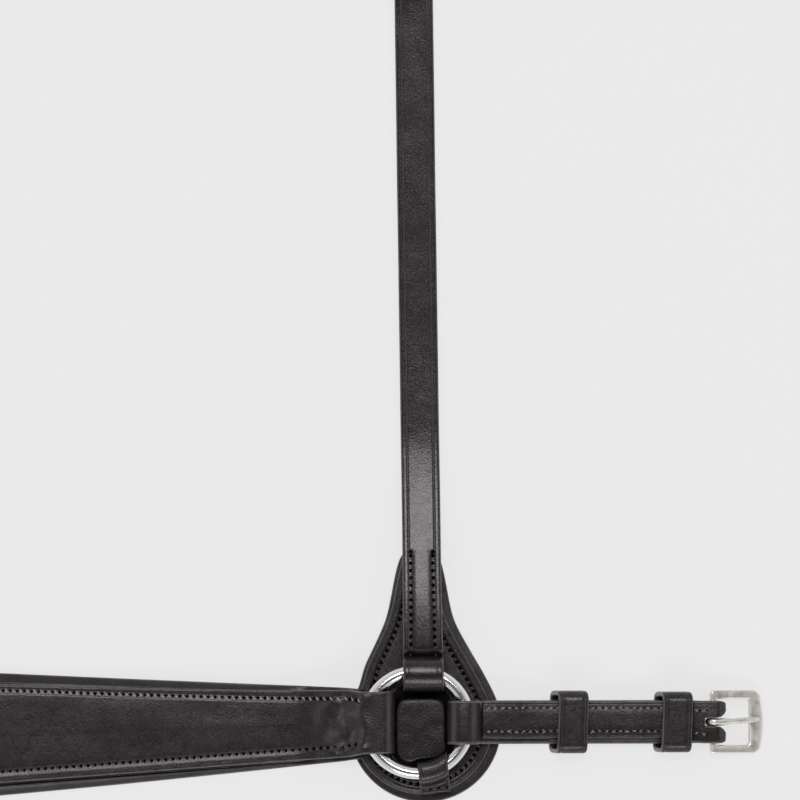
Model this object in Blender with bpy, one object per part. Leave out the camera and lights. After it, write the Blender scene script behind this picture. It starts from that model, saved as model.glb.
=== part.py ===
"""A breast-collar martingale laid out flat, face up, with its neck strap open in front of it.

Metres, +Z up. The origin is the middle of the underside of the chest strap. The two shoulder
junctions are mirror images of each other, so each is written once, about its own ring.
"""

import math

import bmesh
import bpy
from mathutils import Vector

for old in list(bpy.data.objects):
    bpy.data.objects.remove(old, do_unlink=True)

GAP = 0.0003

# Shoulder rings.
RING_X = 0.2600
RING_Y = 0.0060
RING_Z = 0.0117
RING_R = 0.0208
WIRE_R = 0.00275

# Safes: the teardrop leathers under the rings.
SAFE_R = 0.03145
SAFE_MID = (0.0031, -0.0018)
SAFE_FLANKS = ((0.0140, 0.0272), (0.0270, 0.0212), (0.0400, 0.0148), (0.0500, 0.0122), (0.0660, 0.0088))
SAFE_TIP = 0.0720
SAFE_BACK = 0.0016
SAFE_FACE = 0.0018
SAFE_TOP = SAFE_BACK + GAP + SAFE_FACE
DOME_MID = (0.0013, -0.0022)
DOME_HALF = (0.0100, 0.0132)
DOME_RISE = 0.0078

# Tabs that hold the rings down on the safes.
TAB_MID = (0.00646, -0.0200)
TAB_TURN = math.radians(6)
TAB_WIDTH = 0.0124
TAB_THICK = 0.0013
TAB_BORE = 0.00315

# Chest strap. Distances run from the ring towards the middle.
CHEST_LEATHER = 0.0022
CHEST_REACH = 0.0091
CHEST_LOOP_WIDTH = 0.0254
CHEST_START = 0.0280
CHEST_LINING = 0.0016
CHEST_PAD = 0.0025
LINING_END_WIDTH = 0.0292
LINING_MID_WIDTH = 0.0600
LINING_POWER = 1.13
FACING_END_WIDTH = 0.0275
FACING_MID_WIDTH = 0.0500
FACING_POWER = 1.15
CHEST_BOW = 0.0060
CHEST_BOW_POWER = 1.6

# Neck strap.
NECK_LEATHER = 0.0022
NECK_WIDTH = 0.0157
NECK_LOOP_WIDTH = 0.0164
NECK_BORE = 0.0047
NECK_AXIS = 0.0193
NECK_REACH = 0.0125
NECK_SHIFT = 0.0024
NECK_SLANT = -0.0145
NECK_LEG = 0.3000
NECK_TWIST = 0.0600
NECK_BEND = 0.1100

# Girth chapes, with their keepers and buckles.
CHAPE_LEATHER = 0.0020
CHAPE_WIDTH = 0.0179
CHAPE_BORE = 0.0043
CHAPE_AXIS = 0.01978
CHAPE_REACH = 0.0121
CHAPE_OUTER = 0.02586
CHAPE_LIFT = 0.0023
CHAPE_END = 0.1265
FILLER = 0.0015
KEEPER_WIDTH = 0.0120
KEEPER_SPAN = 0.0252
KEEPER_RISE = 0.0140
KEEPER_WALL = 0.0019
KEEPER_LEAN = 0.28
RUNNING_AT = 0.0620
FIXED_AT = 0.1047
BAR_X = 0.1215
BAR_Z = 0.0061
BAR_R = 0.0015
FRAME_TILT = math.radians(-13)
FRAME_LONG = 0.0206
FRAME_SPAN = 0.0259
FRAME_OPEN = 0.0190
FRAME_INNER = 0.0149
TONGUE_WIDTH = 0.0023
TONGUE_THICK = 0.0014
SLOT_WIDTH = 0.0040
SLOT_START = 0.1171

# Square on the chest strap, and the fork that hangs from it.
SQUARE_AT = 0.0350
SQUARE_Z = 0.0105
SQUARE_WIRE = 0.0018
SQUARE_SPAN = 0.0290
SQUARE_DEEP = 0.0170
SQUARE_TILT = math.radians(-13)
SQUARE_CHAPE_WIDTH = 0.0190
SQUARE_CHAPE = 0.0018
TRUNK_WIDTH = 0.0190
TRUNK_LEATHER = 0.0022
TRUNK_LONG = 0.1500
ARM_WIDTH = 0.0092
ARM_LEATHER = 0.0020
ARM_LONG = 0.1650
ARM_SPREAD = 0.0560
FORK_RING_R = 0.0130
FORK_WIRE = 0.0020
FORK_BORE = 0.0027

X = Vector((1, 0, 0))
Y = Vector((0, 1, 0))
Z = Vector((0, 0, 1))


def material(name, colour, roughness, metallic=0.0):
    made = bpy.data.materials.new(name)
    made.use_nodes = True
    shader = made.node_tree.nodes["Principled BSDF"]
    shader.inputs["Base Color"].default_value = (*colour, 1)
    shader.inputs["Roughness"].default_value = roughness
    shader.inputs["Metallic"].default_value = metallic
    made.diffuse_color = (*colour, 1)
    return made


def solid(name, look, points, faces, origin=(0, 0, 0), smooth=False):
    """One closed body from world points, with its origin on the axis it turns about."""
    origin = Vector(origin)
    mesh = bpy.data.meshes.new(name)
    mesh.from_pydata([tuple(Vector(p) - origin) for p in points], [], faces)
    work = bmesh.new()
    work.from_mesh(mesh)
    bmesh.ops.recalc_face_normals(work, faces=work.faces)
    work.to_mesh(mesh)
    work.free()
    colour, roughness, metallic = look
    mesh.materials.append(material(name + "_look", colour, roughness, metallic))
    if smooth:
        mesh.shade_smooth()
    made = bpy.data.objects.new(name, mesh)
    made.location = origin
    bpy.context.collection.objects.link(made)
    return made


def slab(name, look, top, bottom, origin=(0, 0, 0)):
    """A sheet with thickness, from two grids of points that lie face to face."""
    rows = len(top)
    columns = len(top[0])
    points = [p for row in top for p in row] + [p for row in bottom for p in row]
    under = rows * columns

    def at(row, column):
        return row * columns + column

    faces = []
    for i in range(rows - 1):
        for j in range(columns - 1):
            quad = [at(i, j), at(i + 1, j), at(i + 1, j + 1), at(i, j + 1)]
            faces.append(quad)
            faces.append([under + k for k in reversed(quad)])
    rim = [at(i, 0) for i in range(rows)]
    rim += [at(rows - 1, j) for j in range(1, columns)]
    rim += [at(i, columns - 1) for i in range(rows - 2, -1, -1)]
    rim += [at(0, j) for j in range(columns - 2, 0, -1)]
    for here, after in zip(rim, rim[1:] + rim[:1]):
        faces.append([after, here, under + here, under + after])
    return solid(name, look, points, faces, origin)


def strap(name, look, stations, origin=(0, 0, 0)):
    """A strip of leather. A station is its centre, side direction, width, thickness and edge drop."""
    last = len(stations) - 1
    centres = [Vector(station[0]) for station in stations]
    dropping = any(station[4] for station in stations)
    spread = (-1, -0.8, 0.8, 1) if dropping else (-1, 1)
    top, bottom = [], []
    for i, (_, side, width, thick, drop) in enumerate(stations):
        behind = centres[max(i, 1)] - centres[max(i, 1) - 1]
        ahead = centres[min(i, last - 1) + 1] - centres[min(i, last - 1)]
        along = (behind.normalized() + ahead.normalized()).normalized()
        side = Vector(side).normalized()
        normal = side.cross(along).normalized()
        half = normal * (thick / 2 / max(0.7, along.dot(ahead.normalized())))
        upper, lower = [], []
        for share in spread:
            fall = normal * (drop if abs(share) == 1 else 0)
            middle = centres[i] + side * (width / 2 * share) - fall
            upper.append(middle + half)
            lower.append(middle - half)
        top.append(upper)
        bottom.append(lower)
    return slab(name, look, top, bottom, origin)


def arc(mid, radius, start, stop, steps):
    """Points on an arc in a strap's own plane of distance and height, in degrees."""
    turns = [math.radians(start + (stop - start) * i / steps) for i in range(steps + 1)]
    return [(mid[0] + radius * math.cos(a), mid[1] + radius * math.sin(a)) for a in turns]


def ease(start, stop, steps):
    """Points on an S-shaped slope from one distance and height to another, without its first point."""
    made = []
    for i in range(1, steps + 1):
        share = i / steps
        smooth = share * share * (3 - 2 * share)
        made.append((start[0] + (stop[0] - start[0]) * share, start[1] + (stop[1] - start[1]) * smooth))
    return made


def lay(path, base, along, side, thick, width, shift=lambda u: 0, drop=lambda u: 0):
    """Stations of a strap whose path is given as distance and height from a base point."""
    base = Vector(base)
    along = Vector(along)
    side = Vector(side)
    made = []
    for u, z in path:
        centre = base + along * u + side * shift(u) + Z * z
        made.append((centre, side, width(u), thick, drop(u)))
    return made


def mirrored(stations):
    flip = Vector((-1, 1, 1))
    return [(Vector(c) * flip, Vector(s) * flip, w, t, d) for c, s, w, t, d in stations]


def tube(name, look, path, normal, radius, sides, origin):
    """A closed wire loop of round section round a flat path."""
    normal = Vector(normal).normalized()
    points, faces = [], []
    count = len(path)
    for i, centre in enumerate(path):
        along = (path[(i + 1) % count] - path[i - 1]).normalized()
        outward = along.cross(normal).normalized()
        for k in range(sides):
            a = 2 * math.pi * k / sides
            points.append(centre + outward * (radius * math.cos(a)) + normal * (radius * math.sin(a)))
    for i in range(count):
        j = (i + 1) % count
        for k in range(sides):
            m = (k + 1) % sides
            faces.append([i * sides + k, j * sides + k, j * sides + m, i * sides + m])
    return solid(name, look, points, faces, origin, smooth=True)


def circle(centre, radius, count, across=X, up=Y):
    centre = Vector(centre)
    turns = [2 * math.pi * i / count for i in range(count)]
    return [centre + across * (radius * math.cos(a)) + up * (radius * math.sin(a)) for a in turns]


def rounded(x0, x1, y0, y1, near, far, steps, bulge=0.0):
    """A rectangle with rounded corners, whose far side may bow outwards."""
    corners = ((x1, y1, far, 0, -1, -1), (x0, y1, near, 90, 1, -1), (x0, y0, near, 180, 1, 1))
    corners += ((x1, y0, far, 270, -1, 1),)
    points = []
    for x, y, radius, start, sx, sy in corners:
        for i in range(steps + 1):
            a = math.radians(start + 90 * i / steps)
            points.append((x + radius * (sx + math.cos(a)), y + radius * (sy + math.sin(a))))
    for i in range(1, 6):
        points.append((x1, (y0 + far) + (y1 - y0 - 2 * far) * i / 6))
    half = (y1 - y0) / 2
    middle = (y0 + y1) / 2
    bowed = []
    for x, y in points:
        share = max(0.0, (x - x0) / (x1 - x0) - 0.5) * 2
        bowed.append((x + bulge * share * (1 - ((y - middle) / half) ** 2), y))
    return bowed


def frame_solid(name, look, outer, inner, half, chamfer, place, origin):
    """A flat frame between two matching outlines, with its edges chamfered."""
    points, faces = [], []
    for (ox, oy), (ix, iy) in zip(outer, inner):
        wide = math.hypot(ix - ox, iy - oy)
        cut = chamfer / wide
        mx, my = ox + (ix - ox) * cut, oy + (iy - oy) * cut
        nx, ny = ix + (ox - ix) * cut, iy + (oy - iy) * cut
        low, high = half - chamfer, half
        ring = ((ox, oy, -low), (ox, oy, low), (mx, my, high), (nx, ny, high))
        ring += ((ix, iy, low), (ix, iy, -low), (nx, ny, -high), (mx, my, -high))
        points += [place(*p) for p in ring]
    count = len(outer)
    for i in range(count):
        j = (i + 1) % count
        for k in range(8):
            m = (k + 1) % 8
            faces.append([i * 8 + k, j * 8 + k, j * 8 + m, i * 8 + m])
    return solid(name, look, points, faces, origin)


def loft(name, look, loops, peak, origin=(0, 0, 0)):
    """A body from a stack of matching outlines: flat below, closed to one point above."""
    count = len(loops[0])
    points = [p for loop in loops for p in loop] + [peak]
    faces = [list(range(count))]
    for i in range(len(loops) - 1):
        for k in range(count):
            m = (k + 1) % count
            faces.append([i * count + k, i * count + m, (i + 1) * count + m, (i + 1) * count + k])
    end = (len(loops) - 1) * count
    for k in range(count):
        faces.append([end + k, end + (k + 1) % count, len(points) - 1])
    return solid(name, look, points, faces, origin)


def prism(name, look, outline, low, high, origin=(0, 0, 0)):
    count = len(outline)
    points = [(x, y, low) for x, y in outline] + [(x, y, high) for x, y in outline]
    faces = [list(range(count)), list(range(count, 2 * count))]
    for k in range(count):
        m = (k + 1) % count
        faces.append([k, m, count + m, count + k])
    return solid(name, look, points, faces, origin)


def cut_box(target, low, high):
    """Cuts a box out of a solid."""
    x0, y0, z0 = low
    x1, y1, z1 = high
    points = [(x, y, z) for x in (x0, x1) for y in (y0, y1) for z in (z0, z1)]
    faces = [(0, 1, 3, 2), (4, 6, 7, 5), (0, 4, 5, 1), (2, 3, 7, 6), (0, 2, 6, 4), (1, 5, 7, 3)]
    cutter = solid(target.name + "_cutter", STEEL, points, faces)
    cutter.hide_render = True
    cutter.display_type = "WIRE"
    cut = target.modifiers.new("slot", "BOOLEAN")
    cut.operation = "DIFFERENCE"
    cut.solver = "EXACT"
    cut.object = cutter


def inset(outline, distance):
    """The outline moved inwards by a small distance."""
    count = len(outline)
    area = sum(outline[i - 1][0] * outline[i][1] - outline[i][0] * outline[i - 1][1] for i in range(count))
    turn = 1 if area > 0 else -1
    made = []
    for i, (x, y) in enumerate(outline):
        ax, ay = outline[i - 1]
        bx, by = outline[(i + 1) % count]
        long = math.hypot(bx - ax, by - ay)
        made.append((x - turn * (by - ay) / long * distance, y + turn * (bx - ax) / long * distance))
    return made


def spine(y):
    """Where the middle of the safe lies, sideways, at a distance above the ring's centre."""
    return max(0.0009, SAFE_MID[0] - 0.052 * max(0.0, y - SAFE_MID[1]))


def safe_outline():
    """The teardrop, anticlockwise from its right flank, about the ring's centre."""
    low, half = SAFE_FLANKS[0]
    start = math.asin((low - SAFE_MID[1]) / SAFE_R)
    outline = []
    for i in range(35):
        a = math.pi - start + (math.pi + 2 * start) * i / 34
        outline.append((SAFE_MID[0] + SAFE_R * math.cos(a), SAFE_MID[1] + SAFE_R * math.sin(a)))
    right = [(spine(y) + wide, y) for y, wide in SAFE_FLANKS[1:]]
    left = [(spine(y) - wide, y) for y, wide in reversed(SAFE_FLANKS[1:])]
    tip = [(spine(0.07) + 0.0070, 0.0700), (spine(0.07) + 0.0035, SAFE_TIP)]
    tip += [(spine(0.07) - 0.0035, SAFE_TIP), (spine(0.07) - 0.0070, 0.0700)]
    return outline + right + tip + left


def junction(sign):
    """Maps a point given about the ring on the right to its place in the world, on either side."""
    return lambda x, y, z: Vector((sign * (RING_X + x), RING_Y + y, z))


def dome_edge(x, y, share):
    """The point on the puffed centre's outline, scaled, in the direction of another point."""
    a = math.atan2(y - DOME_MID[1], x - DOME_MID[0])
    c, s = math.cos(a), math.sin(a)
    reach = (abs(c / DOME_HALF[0]) ** 3 + abs(s / DOME_HALF[1]) ** 3) ** (-1 / 3)
    return DOME_MID[0] + reach * share * c, DOME_MID[1] + reach * share * s


def make_safe(side, sign):
    put = junction(sign)
    outline = safe_outline()
    flat = [(put(x, y, 0).x, put(x, y, 0).y) for x, y in outline]
    prism(side + "_safe_backing", BLACK, flat, 0.0, SAFE_BACK)
    face = [(x - 0.0010, y + 0.0006) for x, y in inset(outline, 0.0025)]
    low = SAFE_BACK + GAP
    loops = [[put(x, y, low) for x, y in face], [put(x, y, SAFE_TOP - 0.0005) for x, y in face]]
    loops.append([put(x, y, SAFE_TOP) for x, y in inset(face, 0.0006)])
    for share, rise in ((1.0, 0.0), (0.93, 0.42), (0.80, 0.74), (0.58, 0.93), (0.28, 1.0)):
        height = SAFE_TOP + DOME_RISE * rise
        loops.append([put(*dome_edge(x, y, share), height) for x, y in face])
    peak = put(*DOME_MID, SAFE_TOP + DOME_RISE)
    loft(side + "_safe_face", BLACK, loops, peak)


def make_tab(side, sign):
    put = junction(sign)
    along = (math.sin(TAB_TURN), -math.cos(TAB_TURN))
    across = (math.cos(TAB_TURN), math.sin(TAB_TURN))
    hub_u = -(TAB_MID[0] * across[0] + TAB_MID[1] * across[1])
    hub_v = -(TAB_MID[0] * along[0] + TAB_MID[1] * along[1])
    low = SAFE_TOP + GAP + TAB_THICK / 2
    rise = TAB_BORE + TAB_THICK / 2
    top, bottom = [], []
    shapes = []
    columns = 7
    for j in range(columns):
        u = -TAB_WIDTH / 2 + TAB_WIDTH * j / (columns - 1)
        wire = hub_v + math.sqrt(RING_R ** 2 - (u - hub_u) ** 2)
        slant = math.cos(math.asin((u - hub_u) / RING_R))
        fold = TAB_BORE / slant + TAB_THICK / 2
        end = 0.0090
        path = [(end, low), (wire + 0.001, low), (wire - fold * 0.75, low + 0.0016)]
        for v, z in arc((0, 0), 1, 195, 20, 10):
            path.append((wire + fold * v, RING_Z + rise * z))
        path += [(wire + fold + 0.0008, low + TAB_THICK + GAP + 0.0016)]
        path += [(wire + fold + 0.0026, low + TAB_THICK + GAP), (end, low + TAB_THICK + GAP)]
        shapes.append((u, path))
    for i in range(len(shapes[0][1])):
        upper, lower = [], []
        for u, path in shapes:
            last = len(path) - 1
            back = Vector(path[max(i, 1)]) - Vector(path[max(i, 1) - 1])
            ahead = Vector(path[min(i, last - 1) + 1]) - Vector(path[min(i, last - 1)])
            run = (back.normalized() + ahead.normalized()).normalized()
            reach = TAB_THICK / 2 / max(0.7, run.dot(ahead.normalized()))
            for row, sense in ((upper, 1), (lower, -1)):
                v = path[i][0] - run.y * reach * sense
                z = path[i][1] + run.x * reach * sense
                x = TAB_MID[0] + across[0] * u + along[0] * v
                y = TAB_MID[1] + across[1] * u + along[1] * v
                row.append(put(x, y, z))
        top.append(upper)
        bottom.append(lower)
    slab(side + "_safe_tab", BLACK, top, bottom)


def make_ring(side, sign):
    hub = junction(sign)(0, 0, RING_Z)
    tube(side + "_shoulder_ring", STEEL, circle(hub, RING_R, 48), Z, WIRE_R, 12, hub)


def share_of(u):
    """How far a place on the chest strap is from the strap's end to its middle, from 0 to 1."""
    return min(1.0, max(0.0, (u - CHEST_START) / (RING_X - CHEST_START)))


def lining_width(u):
    return LINING_MID_WIDTH - (LINING_MID_WIDTH - LINING_END_WIDTH) * (1 - share_of(u)) ** LINING_POWER


def facing_width(u):
    if u < CHEST_START:
        share = max(0.0, (u - 0.0225) / (CHEST_START - 0.0225))
        return CHEST_LOOP_WIDTH + (FACING_END_WIDTH - CHEST_LOOP_WIDTH) * share
    return FACING_END_WIDTH + (FACING_MID_WIDTH - FACING_END_WIDTH) * share_of(u) ** FACING_POWER


def chest_dip(u):
    share = min(1.0, max(0.0, (u - 0.010) / (RING_X - 0.010)))
    return -CHEST_BOW * (1 - (1 - share) ** CHEST_BOW_POWER)


def facing_drop(u):
    """How far the facing's edges fall below its middle, beyond the end of its lower layer."""
    return (CHEST_PAD - 0.0002) * min(1.0, max(0.0, (u - 0.0500) / 0.0150))


def across_chest(name, look, path, thick, width, drop=lambda u: 0):
    """A layer of the chest strap: the right half of its path, and the same mirrored."""
    half = lay(path, (RING_X, RING_Y, 0), -X, Y, thick, width, chest_dip, drop)
    whole = half + list(reversed(mirrored(half)))[1:]
    return strap(name, look, whole)


def make_chest():
    steps = 14
    run = RING_X
    flat = [0.0300 + (run - 0.0300) * i / steps for i in range(steps + 1)]
    across_chest("chest_lining", BLACK, [(u, CHEST_LINING / 2) for u in flat], CHEST_LINING, lining_width)
    low = CHEST_LINING + GAP
    flat = [0.0510 + (run - 0.0510) * i / steps for i in range(steps + 1)]
    pad = [(u, low + CHEST_PAD / 2) for u in flat]
    across_chest("chest_padding", FOAM, pad, CHEST_PAD, lambda u: 0.78 * facing_width(u))
    fold = WIRE_R + GAP + CHEST_LEATHER / 2
    hub = CHEST_REACH + CHEST_LEATHER / 2 + fold
    resting = low + CHEST_LEATHER / 2
    seated = low + CHEST_PAD + GAP + CHEST_LEATHER / 2
    under = [(0.0480, resting)] + ease((0.0480, resting), (0.0300, RING_Z - fold), 4)
    path = under + arc((hub, RING_Z), fold, -90, -270, 10)
    path += arc((RING_R, RING_Z), fold, 90, 42, 3)
    crest = RING_Z - fold + CHEST_LEATHER + GAP
    path += [(0.0278, crest + 0.0002)] + ease((0.0300, crest), (0.0460, seated), 4)
    path += [(0.0530, seated)]
    path += [(u, seated) for u in flat[1:]]
    across_chest("chest_facing", BLACK, path, CHEST_LEATHER, facing_width, facing_drop)


def make_neck():
    fold = NECK_BORE + NECK_LEATHER / 2
    hub = NECK_REACH + NECK_LEATHER / 2 + fold
    low = RING_Z - fold
    crest = low + NECK_LEATHER + GAP
    path = [(0.0700, low), (0.0450, low)] + arc((hub, RING_Z), fold, -90, -270, 10)
    path += arc((NECK_AXIS, RING_Z), fold, 90, 35, 4)
    path += [(0.0283, crest + 0.0004), (0.0300, crest), (0.0500, crest), (0.0720, crest)]
    path += ease((0.0720, crest), (0.1350, NECK_LEATHER / 2), 6)
    path += [(0.1350 + (NECK_LEG - 0.1350) * i / 4, NECK_LEATHER / 2) for i in range(1, 5)]

    def width(u):
        share = min(1.0, max(0.0, (u - 0.0260) / 0.0300))
        return NECK_LOOP_WIDTH + (NECK_WIDTH - NECK_LOOP_WIDTH) * share

    def lean(u):
        return NECK_SHIFT + NECK_SLANT * max(0.0, u - 0.0200)

    half = lay(path, (RING_X, RING_Y, 0), Y, X, NECK_LEATHER, width, lean)
    foot = RING_X + lean(NECK_LEG)
    for i in range(1, 9):
        turn = math.pi / 2 * i / 8
        rise = NECK_WIDTH / 2 * math.sin(turn) + NECK_LEATHER / 2 * math.cos(turn)
        share = i / 8
        centre = (foot - 0.0007 * share, RING_Y + NECK_LEG + NECK_TWIST * share, rise)
        side = (math.cos(turn), 0, -math.sin(turn))
        half.append((centre, side, NECK_WIDTH, NECK_LEATHER, 0))
    hinge_x = foot - 0.0007 - NECK_BEND
    hinge_y = RING_Y + NECK_LEG + NECK_TWIST
    for i in range(1, 13):
        turn = math.pi / 2 * i / 12
        x = hinge_x + NECK_BEND * math.cos(turn)
        y = hinge_y + NECK_BEND * math.sin(turn)
        half.append(((x, y, NECK_WIDTH / 2), (0, 0, -1), NECK_WIDTH, NECK_LEATHER, 0))
    half.append(((0, hinge_y + NECK_BEND, NECK_WIDTH / 2), (0, 0, -1), NECK_WIDTH, NECK_LEATHER, 0))
    whole = half + list(reversed(mirrored(half)))[1:]
    strap("neck_strap", BLACK, whole, (0, RING_Y + NECK_AXIS, RING_Z))


def make_chape(side, sign):
    put = junction(sign)
    origin = put(CHAPE_AXIS, 0, RING_Z)
    half = CHAPE_LEATHER / 2
    fold = CHAPE_BORE + half
    low = CHAPE_LIFT + half
    core = low + half + GAP
    high = core + FILLER + GAP + half
    loop_low = RING_Z - fold
    end_fold = BAR_Z - low
    lobe = CHAPE_END - half - end_fold
    path = [(CHAPE_OUTER + GAP, loop_low + 2 * half + 0.0012)]
    path += ease(path[0], (0.0520, high), 5)
    path += [(0.0800, high), (0.1080, high)] + ease((0.1080, high), (0.1160, BAR_Z + end_fold), 3)
    path += arc((lobe, BAR_Z), end_fold, 90, -90, 8)
    path += [(0.1080, low), (0.0800, low), (0.0520, low)]
    path += list(reversed(ease((0.0270, loop_low), (0.0520, low), 5)))[1:] + [(0.0270, loop_low)]
    path += arc((CHAPE_REACH + half + fold, RING_Z), fold, -90, -270, 10)
    path += arc((CHAPE_OUTER - half - fold, RING_Z), fold, 90, 0, 5)
    stations = []
    for u, z in path:
        stations.append((put(u, 0, z), -Y, CHAPE_WIDTH, CHAPE_LEATHER, 0))
    chape = strap(side + "_girth_chape", BLACK, stations, origin)
    near = sorted((put(SLOT_START, 0, 0).x, put(CHAPE_END + 0.002, 0, 0).x))
    middle = RING_Y
    cut_box(chape, (near[0], middle - SLOT_WIDTH / 2, -0.001), (near[1], middle + SLOT_WIDTH / 2, 0.02))
    stations = []
    for i in range(5):
        u = 0.0540 + (0.1070 - 0.0540) * i / 4
        stations.append((put(u, 0, core + FILLER / 2), -Y, CHAPE_WIDTH - 0.002, FILLER, 0))
    strap(side + "_chape_filler", BROWN, stations, origin)


def make_keepers(side, sign):
    put = junction(sign)
    middle = KEEPER_RISE / 2
    half_y = KEEPER_SPAN / 2
    outer = rounded(-half_y, half_y, 0, KEEPER_RISE, 0.0026, 0.0026, 4)
    wall = KEEPER_WALL
    inner = rounded(-half_y + wall, half_y - wall, wall, KEEPER_RISE - wall, 0.0012, 0.0012, 4)
    for name, at in (("running", RUNNING_AT), ("fixed", FIXED_AT)):
        place = lambda y, z, x, at=at: put(at + x + KEEPER_LEAN * (z - middle), y, z)
        origin = put(at, 0, middle) if name == "running" else put(CHAPE_AXIS, 0, RING_Z)
        full = side + "_" + name + "_keeper"
        frame_solid(full, BLACK, outer, inner, KEEPER_WIDTH / 2, 0.0004, place, origin)


def tilted(put):
    """Maps a point in a buckle's own plane, measured from its bar, into the world."""
    c, s = math.cos(FRAME_TILT), math.sin(FRAME_TILT)
    return lambda x, y, z: put(BAR_X + c * x - s * z, y, BAR_Z + s * x + c * z)


def make_buckle(side, sign):
    put = junction(sign)
    place = tilted(put)
    origin = put(BAR_X, 0, BAR_Z)
    half = FRAME_SPAN / 2
    open_half = FRAME_OPEN / 2
    outer = rounded(-BAR_R, FRAME_LONG - 0.0008, -half, half, 0.0014, 0.0040, 4, 0.0008)
    inner = rounded(BAR_R, FRAME_INNER, -open_half, open_half, 0.0005, 0.0016, 4)
    frame_solid(side + "_buckle_frame", STEEL, outer, inner, BAR_R, 0.0005, place, origin)
    eye = 1.2 * BAR_R + GAP + TONGUE_THICK / 2
    path = arc((0, 0), eye, 255, 90, 9) + [(0.006, eye), (0.012, eye), (0.0188, eye)]
    stations = [(place(x, 0, z), -Y, TONGUE_WIDTH, TONGUE_THICK, 0) for x, z in path]
    strap(side + "_buckle_tongue", STEEL, stations, origin)


def square_point(along, height=0.0):
    """A point on the square's middle plane, measured from the axis it hangs on."""
    c, s = math.cos(SQUARE_TILT), math.sin(SQUARE_TILT)
    return SQUARE_AT + c * along - s * height, SQUARE_Z + s * along + c * height


def make_square():
    c, s = math.cos(SQUARE_TILT), math.sin(SQUARE_TILT)
    up = Vector((0, -s, c))
    half = SQUARE_SPAN / 2 - SQUARE_WIRE
    flat = rounded(0, SQUARE_DEEP - 2 * SQUARE_WIRE, -half, half, 0.0022, 0.0022, 3)
    path = []
    for along, x in flat:
        y, z = square_point(along)
        path.append(Vector((x, y, z)))
    origin = (0, SQUARE_AT, SQUARE_Z)
    tube("chest_square", STEEL, path, up, SQUARE_WIRE, 10, origin)
    fold = SQUARE_WIRE + GAP + SQUARE_CHAPE / 2
    facing_top = CHEST_LINING + CHEST_PAD + CHEST_LEATHER + 2 * GAP
    low = facing_top + GAP + SQUARE_CHAPE / 2
    high = low + SQUARE_CHAPE + GAP
    path = [(-0.0080, low), (0.0240, low)] + ease((0.0240, low), (SQUARE_AT, SQUARE_Z - fold), 3)[:-1]
    path += arc((SQUARE_AT, SQUARE_Z), fold, -90, 90, 8)
    path += ease((SQUARE_AT, SQUARE_Z + fold), (0.0240, high), 3) + [(-0.0120, high)]
    stations = lay(path, (0, 0, 0), Y, X, SQUARE_CHAPE, lambda u: SQUARE_CHAPE_WIDTH)
    strap("square_chape", BLACK, stations)


def make_fork():
    hub_y, hub_z = square_point(SQUARE_DEEP - 2 * SQUARE_WIRE)
    origin = (0, hub_y, hub_z)
    fold = SQUARE_WIRE + GAP + TRUNK_LEATHER / 2
    low = TRUNK_LEATHER / 2
    high = low + TRUNK_LEATHER + GAP
    over = ARM_LEATHER + GAP + TRUNK_LEATHER / 2
    path = [(0.0420, low), (0.0200, low)] + ease((0.0200, low), (0, hub_z - fold), 3)[:-1]
    path = [(u + hub_y, z) for u, z in path]
    path += arc((hub_y, hub_z), fold, -90, -270, 8)
    top = ease((0, hub_z + fold), (0.0200, high), 3)
    top += [(0.0440, high)] + ease((0.0440, high), (0.0600, over), 2)
    top += [(TRUNK_LONG, over)]
    path += [(u + hub_y, z) for u, z in top]
    stations = lay(path, (0, 0, 0), Y, X, TRUNK_LEATHER, lambda u: TRUNK_WIDTH)
    strap("fork_trunk", BLACK, stations, origin)
    for side, sign in (("right", 1), ("left", -1)):
        make_arm(side, sign, hub_y, origin)


def make_arm(side, sign, hub_y, origin):
    """An arm sewn under the trunk's end, then bowing outwards to the ring folded into its end."""
    sewn = hub_y + TRUNK_LONG - 0.0350
    start = (sign * (ARM_WIDTH / 2 + GAP), sewn)
    z = ARM_LEATHER / 2
    stations = [(Vector((start[0], start[1], z)), X, ARM_WIDTH, ARM_LEATHER, 0)]
    steps = 12
    place, slope = start, 0.0
    for i in range(steps + 1):
        share = i / steps
        x = start[0] + sign * ARM_SPREAD * share ** 2
        y = sewn + 0.0380 + ARM_LONG * share
        slope = 2 * ARM_SPREAD * share / ARM_LONG
        side_way = Vector((1, -sign * slope, 0)).normalized()
        stations.append((Vector((x, y, z)), side_way, ARM_WIDTH, ARM_LEATHER, 0))
        place = (x, y)
    along = Vector((sign * slope, 1, 0)).normalized()
    across = Vector((along.y, -along.x, 0))
    fold = FORK_BORE + ARM_LEATHER / 2
    rise = fold + z
    hub = Vector((place[0], place[1], 0)) + along * 0.0060
    for u, height in arc((0, rise), fold, -90, 90, 8):
        stations.append((hub + along * u + Z * height, across, ARM_WIDTH, ARM_LEATHER, 0))
    back = ease((0, rise + fold), (-0.0140, z + ARM_LEATHER + GAP), 3) + [(-0.0300, z + ARM_LEATHER + GAP)]
    for u, height in back:
        spot = hub + along * u
        bend = 0.0
        if u < -0.0060:
            bend = -sign * 0.5 * (2 * ARM_SPREAD / ARM_LONG ** 2) * (u + 0.0060) ** 2 * along.y ** 3
        stations.append((spot - across * bend + Z * height, across, ARM_WIDTH, ARM_LEATHER, 0))
    strap("fork_arm_" + side, BLACK, stations, origin)
    axis = hub + Z * rise
    middle = axis + along * (FORK_RING_R - 0.0004)
    tube("fork_ring_" + side, STEEL, circle(middle, FORK_RING_R, 32), Z, FORK_WIRE, 8, axis)


BLACK = ((0.022, 0.020, 0.020), 0.50, 0.0)
BROWN = ((0.060, 0.038, 0.026), 0.70, 0.0)
FOAM = ((0.080, 0.078, 0.076), 0.90, 0.0)
STEEL = ((0.62, 0.61, 0.59), 0.25, 1.0)

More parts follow.
